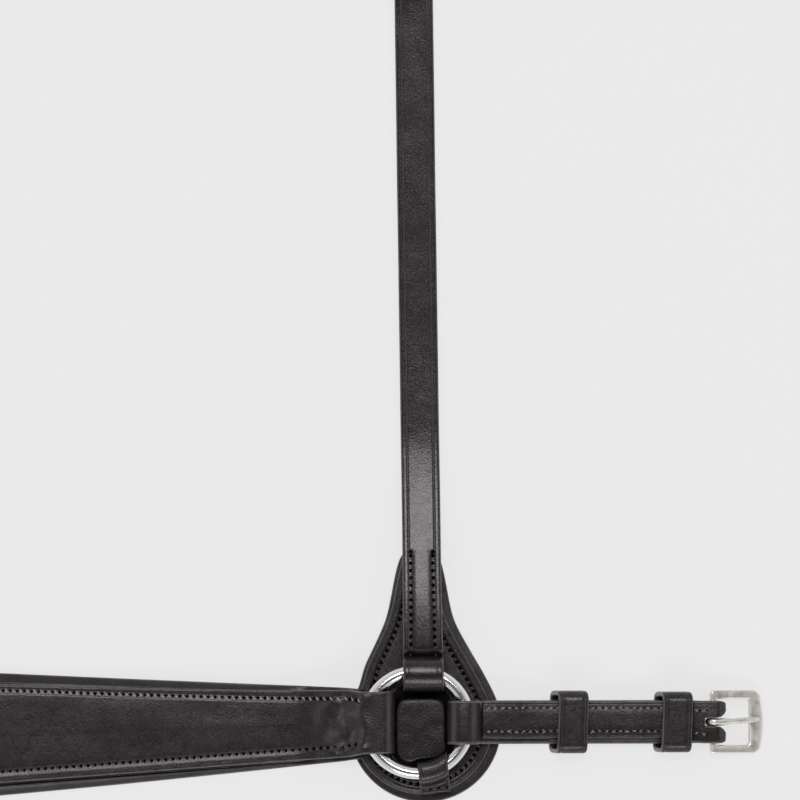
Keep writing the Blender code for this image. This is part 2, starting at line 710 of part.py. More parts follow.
for name, way in (("right", 1), ("left", -1)):
    make_safe(name, way)
    make_tab(name, way)
    make_ring(name, way)
    make_chape(name, way)
    make_keepers(name, way)
    make_buckle(name, way)
make_chest()
make_neck()
make_square()
make_fork()
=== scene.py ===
import math
import random

import bpy
import numpy as np
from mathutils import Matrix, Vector, noise


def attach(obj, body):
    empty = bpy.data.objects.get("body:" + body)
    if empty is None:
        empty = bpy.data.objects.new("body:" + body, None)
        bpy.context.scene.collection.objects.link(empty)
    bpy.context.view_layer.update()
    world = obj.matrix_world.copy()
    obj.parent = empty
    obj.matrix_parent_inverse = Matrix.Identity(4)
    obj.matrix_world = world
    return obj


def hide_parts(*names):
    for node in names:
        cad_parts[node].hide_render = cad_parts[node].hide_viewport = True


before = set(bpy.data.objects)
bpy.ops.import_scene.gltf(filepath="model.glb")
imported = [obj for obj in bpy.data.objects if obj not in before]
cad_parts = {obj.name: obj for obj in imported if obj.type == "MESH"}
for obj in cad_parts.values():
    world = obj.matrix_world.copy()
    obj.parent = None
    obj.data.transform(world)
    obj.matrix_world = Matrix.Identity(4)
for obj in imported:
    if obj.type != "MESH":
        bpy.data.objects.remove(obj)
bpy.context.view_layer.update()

random.seed(7)
scene = bpy.context.scene

# ---------------------------------------------------------------- sizes shared with the CAD part
RX, RY, RZ = 0.2600, 0.0060, 0.0117          # ring centre on the right
RING_R, WIRE_R = 0.0208, 0.00275
MM = 0.001
GAP = 0.3 * MM                                # room between leather and what it is folded round


# ---------------------------------------------------------------- materials
def nodes_of(name):
    m = bpy.data.materials.new(name)
    m.use_nodes = True
    return m, m.node_tree, m.node_tree.nodes["Principled BSDF"]


def noise_node(tree, vector, scale, detail=3.0, rough=0.55):
    n = tree.nodes.new("ShaderNodeTexNoise")
    n.inputs["Scale"].default_value = scale
    n.inputs["Detail"].default_value = detail
    n.inputs["Roughness"].default_value = rough
    tree.links.new(vector, n.inputs["Vector"])
    return n.outputs["Fac"]


def span(tree, source, low, high, to_low, to_high, smooth=False):
    n = tree.nodes.new("ShaderNodeMapRange")
    if smooth:
        n.interpolation_type = "SMOOTHSTEP"
    for key, value in (("From Min", low), ("From Max", high), ("To Min", to_low), ("To Max", to_high)):
        n.inputs[key].default_value = value
    tree.links.new(source, n.inputs["Value"])
    return n.outputs["Result"]


def maths(tree, op, a, b):
    n = tree.nodes.new("ShaderNodeMath")
    n.operation = op
    for k, x in enumerate((a, b)):
        if hasattr(x, "links"):
            tree.links.new(x, n.inputs[k])
        else:
            n.inputs[k].default_value = x
    return n.outputs[0]


def blend_colour(tree, factor, a, b):
    n = tree.nodes.new("ShaderNodeMix")
    n.data_type = "RGBA"
    tree.links.new(factor, n.inputs["Factor"])
    for key, x in (("A", a), ("B", b)):
        socket = [i for i in n.inputs if i.name == key and i.type == "RGBA"][0]
        if hasattr(x, "links"):
            tree.links.new(x, socket)
        else:
            socket.default_value = (*x, 1)
    return [o for o in n.outputs if o.type == "RGBA"][0]


def bumped(tree, chain):
    """A chain of bumps: (height, depth in metres)."""
    normal = None
    for height, depth in chain:
        n = tree.nodes.new("ShaderNodeBump")
        n.inputs["Strength"].default_value = 1.0
        n.inputs["Distance"].default_value = depth
        tree.links.new(height, n.inputs["Height"])
        if normal is not None:
            tree.links.new(normal, n.inputs["Normal"])
        normal = n.outputs["Normal"]
    return normal


def leather(name, dark, light, rough, grain=0.00003, coat=0.12, lumps=0.0003, edge=(0.11, 0.102, 0.103),
            low_wax=0.35, high_wax=0.61):
    """Dyed leather: mottled dye, pores, soft wrinkles, and edges lightened partly by burnished wear and partly
    by a painted highlight. The attribute lay holds the millimetres across, along and in from the nearest edge."""
    m, tree, shader = nodes_of(name)
    coord = tree.nodes.new("ShaderNodeTexCoord").outputs["Object"]
    lay = tree.nodes.new("ShaderNodeAttribute")
    lay.attribute_name = "lay"
    parts = tree.nodes.new("ShaderNodeSeparateXYZ")
    tree.links.new(lay.outputs["Vector"], parts.inputs[0])
    broad = noise_node(tree, coord, 38, 2.0)
    mottle = noise_node(tree, coord, 240, 5.0, 0.65)
    grit = noise_node(tree, coord, 1250, 2.0, 0.5)
    cells = tree.nodes.new("ShaderNodeTexVoronoi")
    cells.inputs["Scale"].default_value = 1500
    tree.links.new(coord, cells.inputs["Vector"])
    pores = cells.outputs["Distance"]
    tint = span(tree, mottle, 0.30, 0.72, 0.0, 1.0)
    colour = blend_colour(tree, tint, dark, light)
    # Towards each edge the colour blends into edge: part burnished wear, part painted highlight for the light
    # caught by the rounded edge.
    rubbed_and_highlit_edge = span(tree, parts.outputs["Z"], 0.05, 0.75, 1.0, 0.0, True)
    colour = blend_colour(tree, maths(tree, "MULTIPLY", rubbed_and_highlit_edge, span(tree, mottle, 0.3, 0.7, 0.35, 1.0)),
                          colour, edge)
    tree.links.new(colour, shader.inputs["Base Color"])
    roughness = maths(tree, "ADD", span(tree, grit, 0.25, 0.75, rough - 0.025, rough + 0.035),
                      span(tree, mottle, 0.3, 0.7, -0.015, 0.018))
    tree.links.new(roughness, shader.inputs["Roughness"])
    shader.inputs["Specular Tint"].default_value = (1.0, 0.93, 0.95, 1)
    shader.inputs["Coat Weight"].default_value = coat
    shader.inputs["Coat Tint"].default_value = (1.0, 0.95, 0.96, 1)
    tree.links.new(span(tree, mottle, 0.3, 0.7, 0.17, 0.30), shader.inputs["Coat Roughness"])
    patches = noise_node(tree, coord, 95, 2.0)
    wax = maths(tree, "ADD", span(tree, grit, 0.3, 0.7, low_wax, high_wax),
                span(tree, patches, 0.3, 0.7, -0.065, 0.075))
    tree.links.new(wax, shader.inputs["Specular IOR Level"])
    chain = [(broad, 0.00016), (mottle, lumps), (grit, grain), (pores, grain * 0.4)]
    tree.links.new(bumped(tree, chain), shader.inputs["Normal"])
    return m


def metal(name, dark, light, rough, scratch):
    m, tree, shader = nodes_of(name)
    coord = tree.nodes.new("ShaderNodeTexCoord").outputs["Object"]
    stretch = tree.nodes.new("ShaderNodeMapping")
    stretch.inputs["Scale"].default_value = (1.0, 0.12, 1.0)
    tree.links.new(coord, stretch.inputs["Vector"])
    hair = noise_node(tree, stretch.outputs["Vector"], 4200, 2.0)
    cloud = noise_node(tree, coord, 330, 3.0)
    tree.links.new(blend_colour(tree, span(tree, cloud, 0.3, 0.7, 0, 1), dark, light),
                   shader.inputs["Base Color"])
    shader.inputs["Metallic"].default_value = 1.0
    tree.links.new(maths(tree, "ADD", span(tree, cloud, 0.3, 0.7, rough * 0.8, rough * 1.25),
                         span(tree, hair, 0.3, 0.7, -0.02, 0.03)), shader.inputs["Roughness"])
    tree.links.new(bumped(tree, [(hair, scratch), (cloud, scratch * 1.5)]), shader.inputs["Normal"])
    return m


def thread(name, dark, light):
    m, tree, shader = nodes_of(name)
    coord = tree.nodes.new("ShaderNodeTexCoord").outputs["Object"]
    strands = noise_node(tree, coord, 2600, 2.0)
    tree.links.new(blend_colour(tree, span(tree, strands, 0.35, 0.65, 0, 1), dark, light),
                   shader.inputs["Base Color"])
    tree.links.new(span(tree, strands, 0.3, 0.7, 0.38, 0.6), shader.inputs["Roughness"])
    tree.links.new(bumped(tree, [(strands, 0.00005)]), shader.inputs["Normal"])
    return m


BLACK = leather("black_leather", (0.0078, 0.0061, 0.0064), (0.0185, 0.0148, 0.0153), 0.285, 0.00006, 0.08,
                lumps=0.00006)
STRAP = leather("strap_leather", (0.006, 0.0048, 0.0050), (0.014, 0.0115, 0.0120), 0.25, 0.000045, 0.15,
                lumps=0.00006)
LINING = leather("lining_leather", (0.006, 0.0050, 0.0052), (0.016, 0.0135, 0.0140), 0.33, 0.00006, 0.04,
                 lumps=0.00007)
CORE = leather("core_leather", (0.030, 0.020, 0.014), (0.060, 0.040, 0.028), 0.70, 0.00006, 0.0)
FELT = leather("felt", (0.05, 0.048, 0.046), (0.09, 0.087, 0.084), 0.9, 0.00012, 0.0)
# Near-black plug colour: painted shade for the shadow inside stitch holes.
PAINTED_HOLE_SHADE = leather("stitch_hole_painted_shade", (0.0012, 0.001, 0.001), (0.003, 0.0026, 0.0026), 0.8, 0.00004, 0.0,
               edge=(0.002, 0.002, 0.002), low_wax=0.02, high_wax=0.1)
# Near-black colour for the hollow round the dome: painted shade.
PAINTED_RECESS_SHADE = leather("recess_leather", (0.0016, 0.0011, 0.0009), (0.004, 0.003, 0.0025), 0.6, 0.00006, 0.0,
                 low_wax=0.02, high_wax=0.10)
DULL = leather("dome_leather", (0.006, 0.0048, 0.0050), (0.014, 0.0112, 0.0116), 0.30, 0.00008, 0.04,
               lumps=0.00006, low_wax=0.24, high_wax=0.45)
RINGS = metal("polished_steel", (0.79, 0.775, 0.80), (0.86, 0.84, 0.865), 0.13, 0.0000012)
SATIN = metal("satin_steel", (0.71, 0.672, 0.63), (0.80, 0.765, 0.722), 0.33, 0.000004)
THREAD = thread("black_thread", (0.018, 0.0175, 0.017), (0.115, 0.112, 0.108))
# Pale grey thread: a painted highlight standing in for the sheen on black thread.
SHEEN_PAINTED_THREAD = thread("thread_painted_sheen", (0.11, 0.107, 0.103), (0.42, 0.41, 0.40))


# ---------------------------------------------------------------- mesh helpers
def mesh_object(name, points, faces, materials, lay=None, face_material=None):
    mesh = bpy.data.meshes.new(name)
    mesh.from_pydata([tuple(p) for p in points], [], [tuple(f) for f in faces])
    for m in materials:
        mesh.materials.append(m)
    if lay is not None:
        attribute = mesh.attributes.new("lay", "FLOAT_VECTOR", "POINT")
        attribute.data.foreach_set("vector", np.asarray(lay, np.float32).ravel())
    if face_material is not None:
        mesh.polygons.foreach_set("material_index", np.asarray(face_material, np.int32))
    mesh.shade_smooth()
    mesh.update()
    obj = bpy.data.objects.new(name, mesh)
    scene.collection.objects.link(obj)
    return obj


def finish_piece(obj, body, nodes=(), slot=None, mirror=None):
    """Ties a piece to its body and CAD nodes. With mirror it also makes the left-hand copy."""
    if nodes:
        obj.name = nodes[0] + "_surface"
    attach(obj, body)
    if nodes:
        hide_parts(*nodes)
    if mirror:
        name, left_body, left_nodes = mirror
        mesh = obj.data.copy()
        co = np.empty(len(mesh.vertices) * 3, np.float32)
        mesh.vertices.foreach_get("co", co)
        co = co.reshape(-1, 3)
        co[:, 0] *= -1
        mesh.vertices.foreach_set("co", co.ravel())
        mesh.flip_normals()
        mesh.update()
        copy = bpy.data.objects.new(name, mesh)
        scene.collection.objects.link(copy)
        finish_piece(copy, left_body, left_nodes, slot)
        return obj, copy
    return obj, None


def both_sides(obj, part, nodes, slot):
    """A piece of the right junction, and its mirror image on the left."""
    left = [n.replace("right_", "left_") for n in nodes]
    return finish_piece(obj, "right_" + part if part != "chest" else part, nodes, slot,
                        (obj.name.replace("right_", "left_"), "left_" + part if part != "chest" else part,
                         left))


def rounded_path(rows, times=2):
    """Chaikin's corner cutting on rows of numbers, keeping the two ends."""
    rows = np.asarray(rows, float)
    for _ in range(times):
        a, b = rows[:-1], rows[1:]
        mixed = np.empty((2 * len(a), rows.shape[1]))
        mixed[0::2] = 0.75 * a + 0.25 * b
        mixed[1::2] = 0.25 * a + 0.75 * b
        rows = np.vstack([rows[:1], mixed[1:-1], rows[-1:]])
    return rows


def length_along(points):
    """How far along a line each of its points lies."""
    return np.concatenate([[0], np.cumsum(np.linalg.norm(np.diff(points, axis=0), axis=1))])


def evenly(rows, step):
    """Rows again at even steps along their first three numbers, and how far along each lies."""
    long = length_along(rows[:, :3])
    count = max(4, int(round(long[-1] / step)))
    at = np.linspace(0, long[-1], count + 1)
    return np.stack([np.interp(at, long, rows[:, k]) for k in range(rows.shape[1])], 1), at


def closed(ring):
    return np.vstack([ring, ring[:1]])


def unit_rows(rows):
    return rows / np.linalg.norm(rows, axis=1)[:, None]


def with_mirror(rows):
    """Rows of a strap from the right end to the middle, then their mirror image back out to the left."""
    left = rows[::-1][1:].copy()
    left[:, 0] *= -1
    left[:, 3] *= -1
    return np.vstack([rows, left])


def tube_faces(rows, count, joined=False):
    """Faces round a tube of rows of points: joined into a ring, or else capped at both ends."""
    index = np.arange(rows * count).reshape(rows, count)
    if joined:
        b = np.roll(index, -1, 0)
        return np.stack([index, b, np.roll(b, -1, 1), np.roll(index, -1, 1)], -1).reshape(-1, 4).tolist()
    a, b = index[:-1], index[1:]
    faces = np.stack([a, np.roll(a, -1, 1), np.roll(b, -1, 1), b], -1).reshape(-1, 4).tolist()
    return faces + [index[0][::-1].tolist(), index[-1].tolist()]


def plain_lay(count):
    """The lay of a piece without leather edges: everywhere 5 mm in."""
    return np.full((count, 3), 5.0)


def edge_dip(e, r):
    """How far an edge rounded to the radius r lies below the top, at a distance in from the edge."""
    return np.where(e < r, r - np.sqrt(np.maximum(0, r * r - (r - np.minimum(e, r)) ** 2)), 0)


def crosswise(spot, sign=1):
    """The same spot for a stitch that lies across the row."""
    p, a, s, n = spot
    return p, s * sign, -a, n


EDGE_IN = np.array([0, 0.05, 0.16, 0.34, 0.6, 0.95, 1.35, 1.8, 2.15, 2.4, 2.6, 2.8, 3.05, 3.4, 3.9]) * MM
INSIDE = np.array([0.80, 0.5, 0.2, -0.2, -0.5, -0.8])
WIDE_EDGE_IN = np.array([0, 0.06, 0.18, 0.36, 0.6, 0.85, 1.1, 1.35, 1.6, 1.85, 2.1, 2.3, 2.5, 2.75, 3.0, 3.3,
                         3.6, 3.85, 4.1, 4.3,
                         4.5, 4.7, 5.0, 5.4, 5.9, 6.5, 7.2]) * MM
WIDE_INSIDE = np.linspace(0.96, -0.96, 22)


class Strap:
    """A leather strip along a path. Rows are x, y, z, side x, y, z, width, thickness and one spare number.
    relief(e, s, v, spare) lifts the top by metres, from the distance in from the edge, across and along."""

    def __init__(self, rows, relief, step=1.0 * MM, round_r=0.8 * MM, edge_in=EDGE_IN, inside=INSIDE):
        self.rows, self.at = evenly(rounded_path(rows), step)
        self.point = self.rows[:, :3]
        self.side = unit_rows(self.rows[:, 3:6])
        self.along = unit_rows(np.gradient(self.point, self.at, axis=0))
        self.normal = unit_rows(np.cross(self.side, self.along))
        self.width, self.thick, self.spare = self.rows[:, 6], self.rows[:, 7], self.rows[:, 8]
        self.relief, self.round_r = relief, round_r
        self.edge_in, self.inside = edge_in, inside

    def height(self, e, s, v, spare, thick):
        r = np.minimum(self.round_r, thick * 0.42)
        return thick / 2 - edge_dip(e, r) + self.relief(e, s, v, spare) * np.clip(e / (0.4 * MM), 0, 1)

    def spot(self, v, across):
        """(point, along, side, normal) on the top at a distance along, and across from the middle."""
        take = lambda a: np.array([np.interp(v, self.at, a[:, k]) for k in range(3)])
        width = np.interp(v, self.at, self.width)
        thick = np.interp(v, self.at, self.thick)
        spare = np.interp(v, self.at, self.spare)
        n, s, a = take(self.normal), take(self.side), take(self.along)

        def rise(place):
            e = np.array([width / 2 - abs(place)])
            return float(self.height(e, *(np.array([x]) for x in (place, v, spare, thick)))[0])

        reach = 0.3 * MM
        slope = (rise(across + reach) - rise(across - reach)) / (2 * reach)
        lean, tilt = s + n * slope, n - s * slope
        length = math.hypot(1, slope)
        return take(self.point) + s * across + n * rise(across), a, lean / length, tilt / length

    def build(self, name, material, wobble=0.12 * MM):
        """The strip as a closed mesh, its edges wandering sideways by the wobble, which Blender seeds anew."""
        half = self.width[:, None] / 2
        left = np.broadcast_to(self.edge_in, (len(self.at), len(self.edge_in)))
        inner = np.maximum(half - self.edge_in[-1] - 0.3 * MM, 0.2 * MM) * self.inside[None, :]
        s = np.concatenate([-(half - left), -inner, (half - left[:, ::-1])], 1)
        e = half - np.abs(s)
        v = np.broadcast_to(self.at[:, None], s.shape)
        thick = np.broadcast_to(self.thick[:, None], s.shape)
        spare = np.broadcast_to(self.spare[:, None], s.shape)
        top = self.height(e, s, v, spare, thick)
        bottom_e = np.array([0.05, 0.2, 0.6]) * MM
        r = self.round_r * 0.8
        sb = np.concatenate([half - bottom_e, half * 0, -(half - bottom_e[::-1])], 1)
        eb = half - np.abs(sb)
        low = -self.thick[:, None] / 2 + edge_dip(eb, r)
        ss, hh = np.concatenate([s, sb], 1), np.concatenate([top, low], 1)
        ee = np.concatenate([e, eb], 1)
        vv = np.broadcast_to(self.at[:, None], ss.shape)
        p = (self.point[:, None, :] + self.side[:, None, :] * ss[..., None] + self.normal[:, None,
                :] * hh[..., None])
        for i, c in enumerate(self.point):
            shift = noise.noise_vector(Vector((c[0] * 22 + 3.1, c[1] * 22, c[2] * 22)))
            fade = min(1.0, i / 6, (len(p) - 1 - i) / 6)
            p[i] += self.side[i] * (shift.x * wobble * fade)
        faces = tube_faces(*ss.shape)
        lay = np.stack([ss / MM, vv / MM, ee / MM], -1).reshape(-1, 3)
        obj = mesh_object(name, p.reshape(-1, 3), faces, [material], lay)
        for cap in (len(faces) - 1, len(faces) - 2):
            obj.data.polygons[cap].use_smooth = False
        return obj


def arc(mid, radius, start, stop, steps, square=1.0):
    """Points along an arc. A square below 1 flattens its top and sides."""
    turns = [math.radians(start + (stop - start) * i / steps) for i in range(steps + 1)]
    bent = lambda x: math.copysign(abs(x) ** square, x)
    return [(mid[0] + radius * bent(math.cos(a)), mid[1] + radius * bent(math.sin(a))) for a in turns]


def ease(start, stop, steps):
    """Points after start up to stop, leaving and arriving level."""
    made = []
    for i in range(1, steps + 1):
        share = i / steps
        smooth = share * share * (3 - 2 * share)
        made.append((start[0] + (stop[0] - start[0]) * share, start[1] + (stop[1] - start[1]) * smooth))
    return made


def crowned(crown, reach, at, depth):
    """The relief of a plain strap: a crown over its reach in from the edge, and a crease line, in mm."""
    return lambda e, s, v, spare: crown * MM * np.clip(e / (reach * MM), 0, 1) + crease(e, at * MM,
            depth * MM)


def level(e, s, v, spare):
    return 0 * e


def crease(e, at, depth, wide=0.22 * MM):
    return -depth * np.exp(-((e - at) / wide) ** 2)


def groove(e, at, depth, wide):
    return -depth * np.exp(-((e - at) / wide) ** 4)


def capsule(p, way, n, radius, long, sides=7, rings=6):
    """Points and faces of one bent stitch that lies on a surface at p and dips in at both ends."""
    cross = np.cross(n, way)
    points, faces = [], []
    for i in range(rings + 1):
        t = -1 + 2 * i / rings
        r = radius * math.sqrt(max(0.02, 1 - abs(t) ** 3))
        c = p + way * (t * long / 2) + n * (radius * (0.62 - 0.85 * t * t))
        for k in range(sides):
            q = 2 * math.pi * k / sides
            points.append(c + cross * (r * math.cos(q)) + n * (r * 0.85 * math.sin(q)))
    for i in range(rings):
        for k in range(sides):
            m = (k + 1) % sides
            faces.append((i * sides + k, i * sides + m, (i + 1) * sides + m, (i + 1) * sides + k))
    faces.append(tuple(reversed(range(sides))))
    faces.append(tuple(rings * sides + k for k in range(sides)))
    return points, faces


def sunk_hole(c, a, side_way, n, radius, stretch, proud, sides=10):
    """Points and faces of the dark plug, painted shade standing in for the shadow inside a stitch hole."""
    points = []
    for size, high in ((1.0, proud), (0.7, -0.4 * MM)):
        for k in range(sides):
            q = 2 * math.pi * (k + 0.5) / sides
            points.append(c + a * (radius * stretch * size * math.cos(q))
                          + side_way * (radius * size * math.sin(q)) + n * high)
    faces = [tuple(range(sides)), tuple(reversed(range(sides, 2 * sides)))]
    for k in range(sides):
        m = (k + 1) % sides
        faces.append((k, sides + k, sides + m, m))
    return points, faces


def on_spots(name, spots, radius, long, material, hole, ahead, slant=0.0, stretch=1.0, proud=0.2 * MM,
             loose=0.1, strands=1):
    """A sewn row. A spot is (point, along, side, normal); a dark plug of painted shade marks a hole ahead of
    each stitch along the row.
    """
    points, faces, kinds = [], [], []

    def put(made, kind):
        base = len(points)
        points.extend(made[0])
        faces.extend(tuple(base + k for k in face) for face in made[1])
        kinds.extend([kind] * len(made[1]))

    for spot in spots:
        p, a, s, n = (np.asarray(x, float) for x in spot)
        for strand in range(strands):
            turn = slant * (1 - 2 * strand) + random.uniform(-1, 1) * loose
            way = a * math.cos(turn) + s * math.sin(turn)
            away = (a * random.uniform(-1, 1) + s * random.uniform(-1, 1)) * (loose * MM * 0.5)
            span_long = long * random.uniform(1 - loose, 1 + loose * 0.5)
            put(capsule(p + away, way, n, radius * random.uniform(1 - loose * 0.6, 1.05), span_long), 0)
        shift = a * ahead + s * (random.uniform(-1, 1) * loose * MM * 0.3)
        put(sunk_hole(p + shift, a, s, n, hole, stretch, proud), 1)
    lay = plain_lay(len(points))
    return mesh_object(name, points, faces, [material, PAINTED_HOLE_SHADE], lay, kinds)


# ---------------------------------------------------------------- neck strap
NECK_T = 2.2 * MM


def neck_rows():
    fold = 5.8 * MM
    hub = 19.4 * MM
    low = RZ - fold
    crest = low + NECK_T + GAP
    path = [(0.0700, low - 1.0 * MM), (0.0620, low - 0.2 * MM), (0.0530, low + 0.8 * MM),
            (0.0440, low + 1.6 * MM), (0.0340, low + 0.7 * MM), (0.0300, low + 0.1 * MM), (0.0220, low)]
    path += arc((hub, RZ), fold, -90, -240, 10)
    over_ring = ((19.0, 5.8), (21.2, 5.6), (23.2, 5.15), (24.5, 4.2), (25.3, 2.2))
    path += [(u * MM, RZ + z * MM) for u, z in over_ring]
    doubled = ((26.0, 2.6), (26.7, 0.9), (27.5, 0.2), (28.2, 0.5), (28.6, 2.0), (29.4, 2.4), (34.0, 2.3),
               (39.0, 2.1), (44.0, 1.8), (49.0, 1.4), (56.0, 0.65), (64.0, -0.4), (72.0, -1.45),
               (80.0, -2.55), (88.0, -3.7), (96.0, -4.75), (105.0, -5.7), (116.0, -6.6))
    path += [(u * MM, crest + z * MM) for u, z in doubled]
    path += [(130 * MM, NECK_T / 2 + 0.45 * MM), (150 * MM, NECK_T / 2 + 0.12 * MM)]
    path += [((170 + 26 * i) * MM, NECK_T / 2) for i in range(6)]
    rows = []
    for u, z in path:
        share = min(1.0, max(0.0, (u - 0.0260) / 0.0300))
        width = (16.6 - 0.8 * share) * MM
        x = RX + 2.4 * MM - 0.0145 * max(0.0, u - 0.020)
        rows.append((x, RY + u, z, 1, 0, 0, width, NECK_T, u))
    foot = RX + 2.4 * MM - 0.0145 * 0.28
    width = 15.8 * MM
    for i in range(1, 13):
        turn = math.pi / 2 * i / 12
        rise = width / 2 * math.sin(turn) + NECK_T / 2 * math.cos(turn)
        share = i / 12
        rows.append((foot - 0.0007 * share, RY + 0.300 + 0.060 * share, rise,
                     math.cos(turn), 0, -math.sin(turn), width, NECK_T, 1))
    mid_x, mid_y = foot - 0.0007 - 0.110, RY + 0.360
    for i in range(1, 25):
        turn = math.pi / 2 * i / 24
        rows.append((mid_x + 0.110 * math.cos(turn), mid_y + 0.110 * math.sin(turn), width / 2, 0, 0, -1,
                     width, NECK_T, 1))
    for i in range(1, 6):
        rows.append((mid_x * (1 - i / 5), mid_y + 0.110, width / 2, 0, 0, -1, width, NECK_T, 1))
    return with_mirror(np.array(rows))


def neck_relief(e, s, v, spare):
    crown = 0.16 * MM * np.clip(e / (6 * MM), 0, 1)
    sewn = (spare > 0.028) & (spare < 0.069)
    line = crease(e, 2.6 * MM, 0.30 * MM, 0.20 * MM) * np.where(spare > 0.0695, 1, 0.25)
    row = groove(e, 3.3 * MM, 0.34 * MM, 0.85 * MM) * np.where(sewn, 1, 0)
    lip = 0.10 * MM * np.exp(-((e - 1.5 * MM) / (0.7 * MM)) ** 2)
    return crown + line + row + lip


def make_neck():
    neck = Strap(neck_rows(), neck_relief, 1.3 * MM, 0.75 * MM)
    piece = neck.build("neck_strap", STRAP)
    finish_piece(piece, "neck", ["neck_strap"], "black_leather")

    # Where along the strap a distance above the ring falls, on its upper layer.
    turn_back = int(np.argmin(neck.spare[: len(neck.at) // 4]))
    upper = slice(turn_back + 6, min(turn_back + 206, len(neck.at) // 2))
    neck_v = lambda u: float(np.interp(u, neck.spare[upper], neck.at[upper]))
    spots = []
    for sign in (-1, 1):
        for i in range(13):
            u = 0.0305 + 0.0030 * i
            v = neck_v(u)
            width = float(np.interp(v, neck.at, neck.width))
            spots.append(neck.spot(v, sign * (width / 2 - 3.35 * MM)))
        spots.append(crosswise(neck.spot(neck_v(0.0697), sign * (width / 2 - 4.9 * MM)), sign))
    obj = on_spots("right_neck_stitches", spots, 0.30 * MM, 1.7 * MM, THREAD, 0.74 * MM, 1.5 * MM, 0.9, 1.15,
                   loose=0.3)
    finish_piece(obj, "neck", (), "black_leather", ("left_neck_stitches", "neck", ()))


make_neck()


# ---------------------------------------------------------------- shoulder ring
def tube_ring(name, path, normal, radius, sides, material):
    path = np.asarray(path, float)
    normal = np.asarray(normal, float) / np.linalg.norm(normal)
    ahead, behind = np.roll(path, -1, 0), np.roll(path, 1, 0)
    out = np.cross(unit_rows(ahead - behind), normal)
    q = np.linspace(0, 2 * math.pi, sides, endpoint=False)
    p = path[:, None, :] + out[:, None, :] * (radius * np.cos(q))[None, :,
                                                                  None] + normal * (radius * np.sin(q))[None,
                                                                          :, None]
    faces = tube_faces(len(path), sides, True)
    return mesh_object(name, p.reshape(-1, 3), faces, [material], plain_lay(len(path) * sides))


turns = np.linspace(0, 2 * math.pi, 160, endpoint=False)
hoop = np.stack([RX + RING_R * np.cos(turns), RY + RING_R * np.sin(turns), np.full(160, RZ)], 1)
both_sides(tube_ring("right_shoulder_ring", hoop, (0, 0, 1), WIRE_R, 28, RINGS), "ring",
           ["right_shoulder_ring"], "polished_steel")

# ---------------------------------------------------------------- safe
SAFE_R, SAFE_X, SAFE_Y = 31.45 * MM, 3.1 * MM, -1.8 * MM
# How far above the ring's centre, and the safe's half-width there, in mm, as measured on the photograph.
FLANKS = ((15.2, 27.3), (21.3, 24.5), (25.4, 22.2), (33.6, 17.8), (41.8, 13.8), (50.0, 12.0), (58.2, 10.6),
          (66.4, 8.7))


def spine(y):
    """Where the middle of the safe lies, sideways, at a distance above the ring's centre."""
    return np.maximum(0.9 * MM, SAFE_X - 0.052 * np.maximum(0.0, y - SAFE_Y))


def safe_outline(count=220):
    """The teardrop, anticlockwise from its right flank, about the ring's centre."""
    start = math.asin((FLANKS[0][0] * MM - SAFE_Y) / SAFE_R)
    pts = []
    for i in range(60):
        a = math.pi - start + (math.pi + 2 * start) * i / 59
        pts.append((SAFE_X + SAFE_R * math.cos(a), SAFE_Y + SAFE_R * math.sin(a)))
    right = [(float(spine(y * MM)) + w * MM, y * MM) for y, w in FLANKS[1:]]
    left = [(float(spine(y * MM)) - w * MM, y * MM) for y, w in reversed(FLANKS[1:])]
    tip = [(8.2 * MM, 70.0 * MM), (4.4 * MM, 72.0 * MM), (-2.6 * MM, 72.0 * MM), (-6.4 * MM, 70.0 * MM)]
    ring = np.array(pts + right + tip + left)
    for smoothing in (14, 0):
        whole = closed(ring)
        long = length_along(whole)
        at = np.linspace(0, long[-1], count, endpoint=False)
        ring = np.stack([np.interp(at, long, whole[:, k]) for k in range(2)], 1)
        for _ in range(smoothing):
            ring = 0.25 * np.roll(ring, 1, 0) + 0.5 * ring + 0.25 * np.roll(ring, -1, 0)
    return ring


def inward(ring):
    """Which way is in at each point of the outline, and how far in the safe's middle is."""
    along = unit_rows(np.roll(ring, -1, 0) - np.roll(ring, 1, 0))
    n = np.stack([-along[:, 1], along[:, 0]], 1)
    deep = np.abs((spine(ring[:, 1]) - ring[:, 0]) / np.where(np.abs(n[:, 0]) < 0.05, 0.05, n[:, 0]))
    deep = np.where(np.abs(n[:, 1]) > 0.95, 12 * MM, deep)
    for _ in range(4):
        n = unit_rows(0.25 * np.roll(n, 1, 0) + 0.5 * n + 0.25 * np.roll(n, -1, 0))
    return n, np.minimum(deep, 12 * MM)


def inset(ring, distance):
    n, deep = inward(ring)
    return ring + n * np.minimum(distance, deep * 0.86)[:, None]


def loop_stack(name, loops, materials, lay, peak=None, starts=()):
    """A body from matching closed loops, capped flat below and with a point or a flat cap above."""
    count = len(loops[0])
    points = np.vstack(loops)
    faces = tube_faces(len(loops), count)
    lay = np.vstack(lay)
    if peak is not None:
        last = faces.pop()
        points = np.vstack([points, [peak]])
        lay = np.vstack([lay, [[9, 9, 9]]])
        top = len(points) - 1
        faces += [(i, j, top) for i, j in zip(last, last[1:] + last[:1])]
    kinds = [sum(i // count >= start for start in starts) for i in range(len(faces))]
    return mesh_object(name, points, faces, materials, lay, kinds)


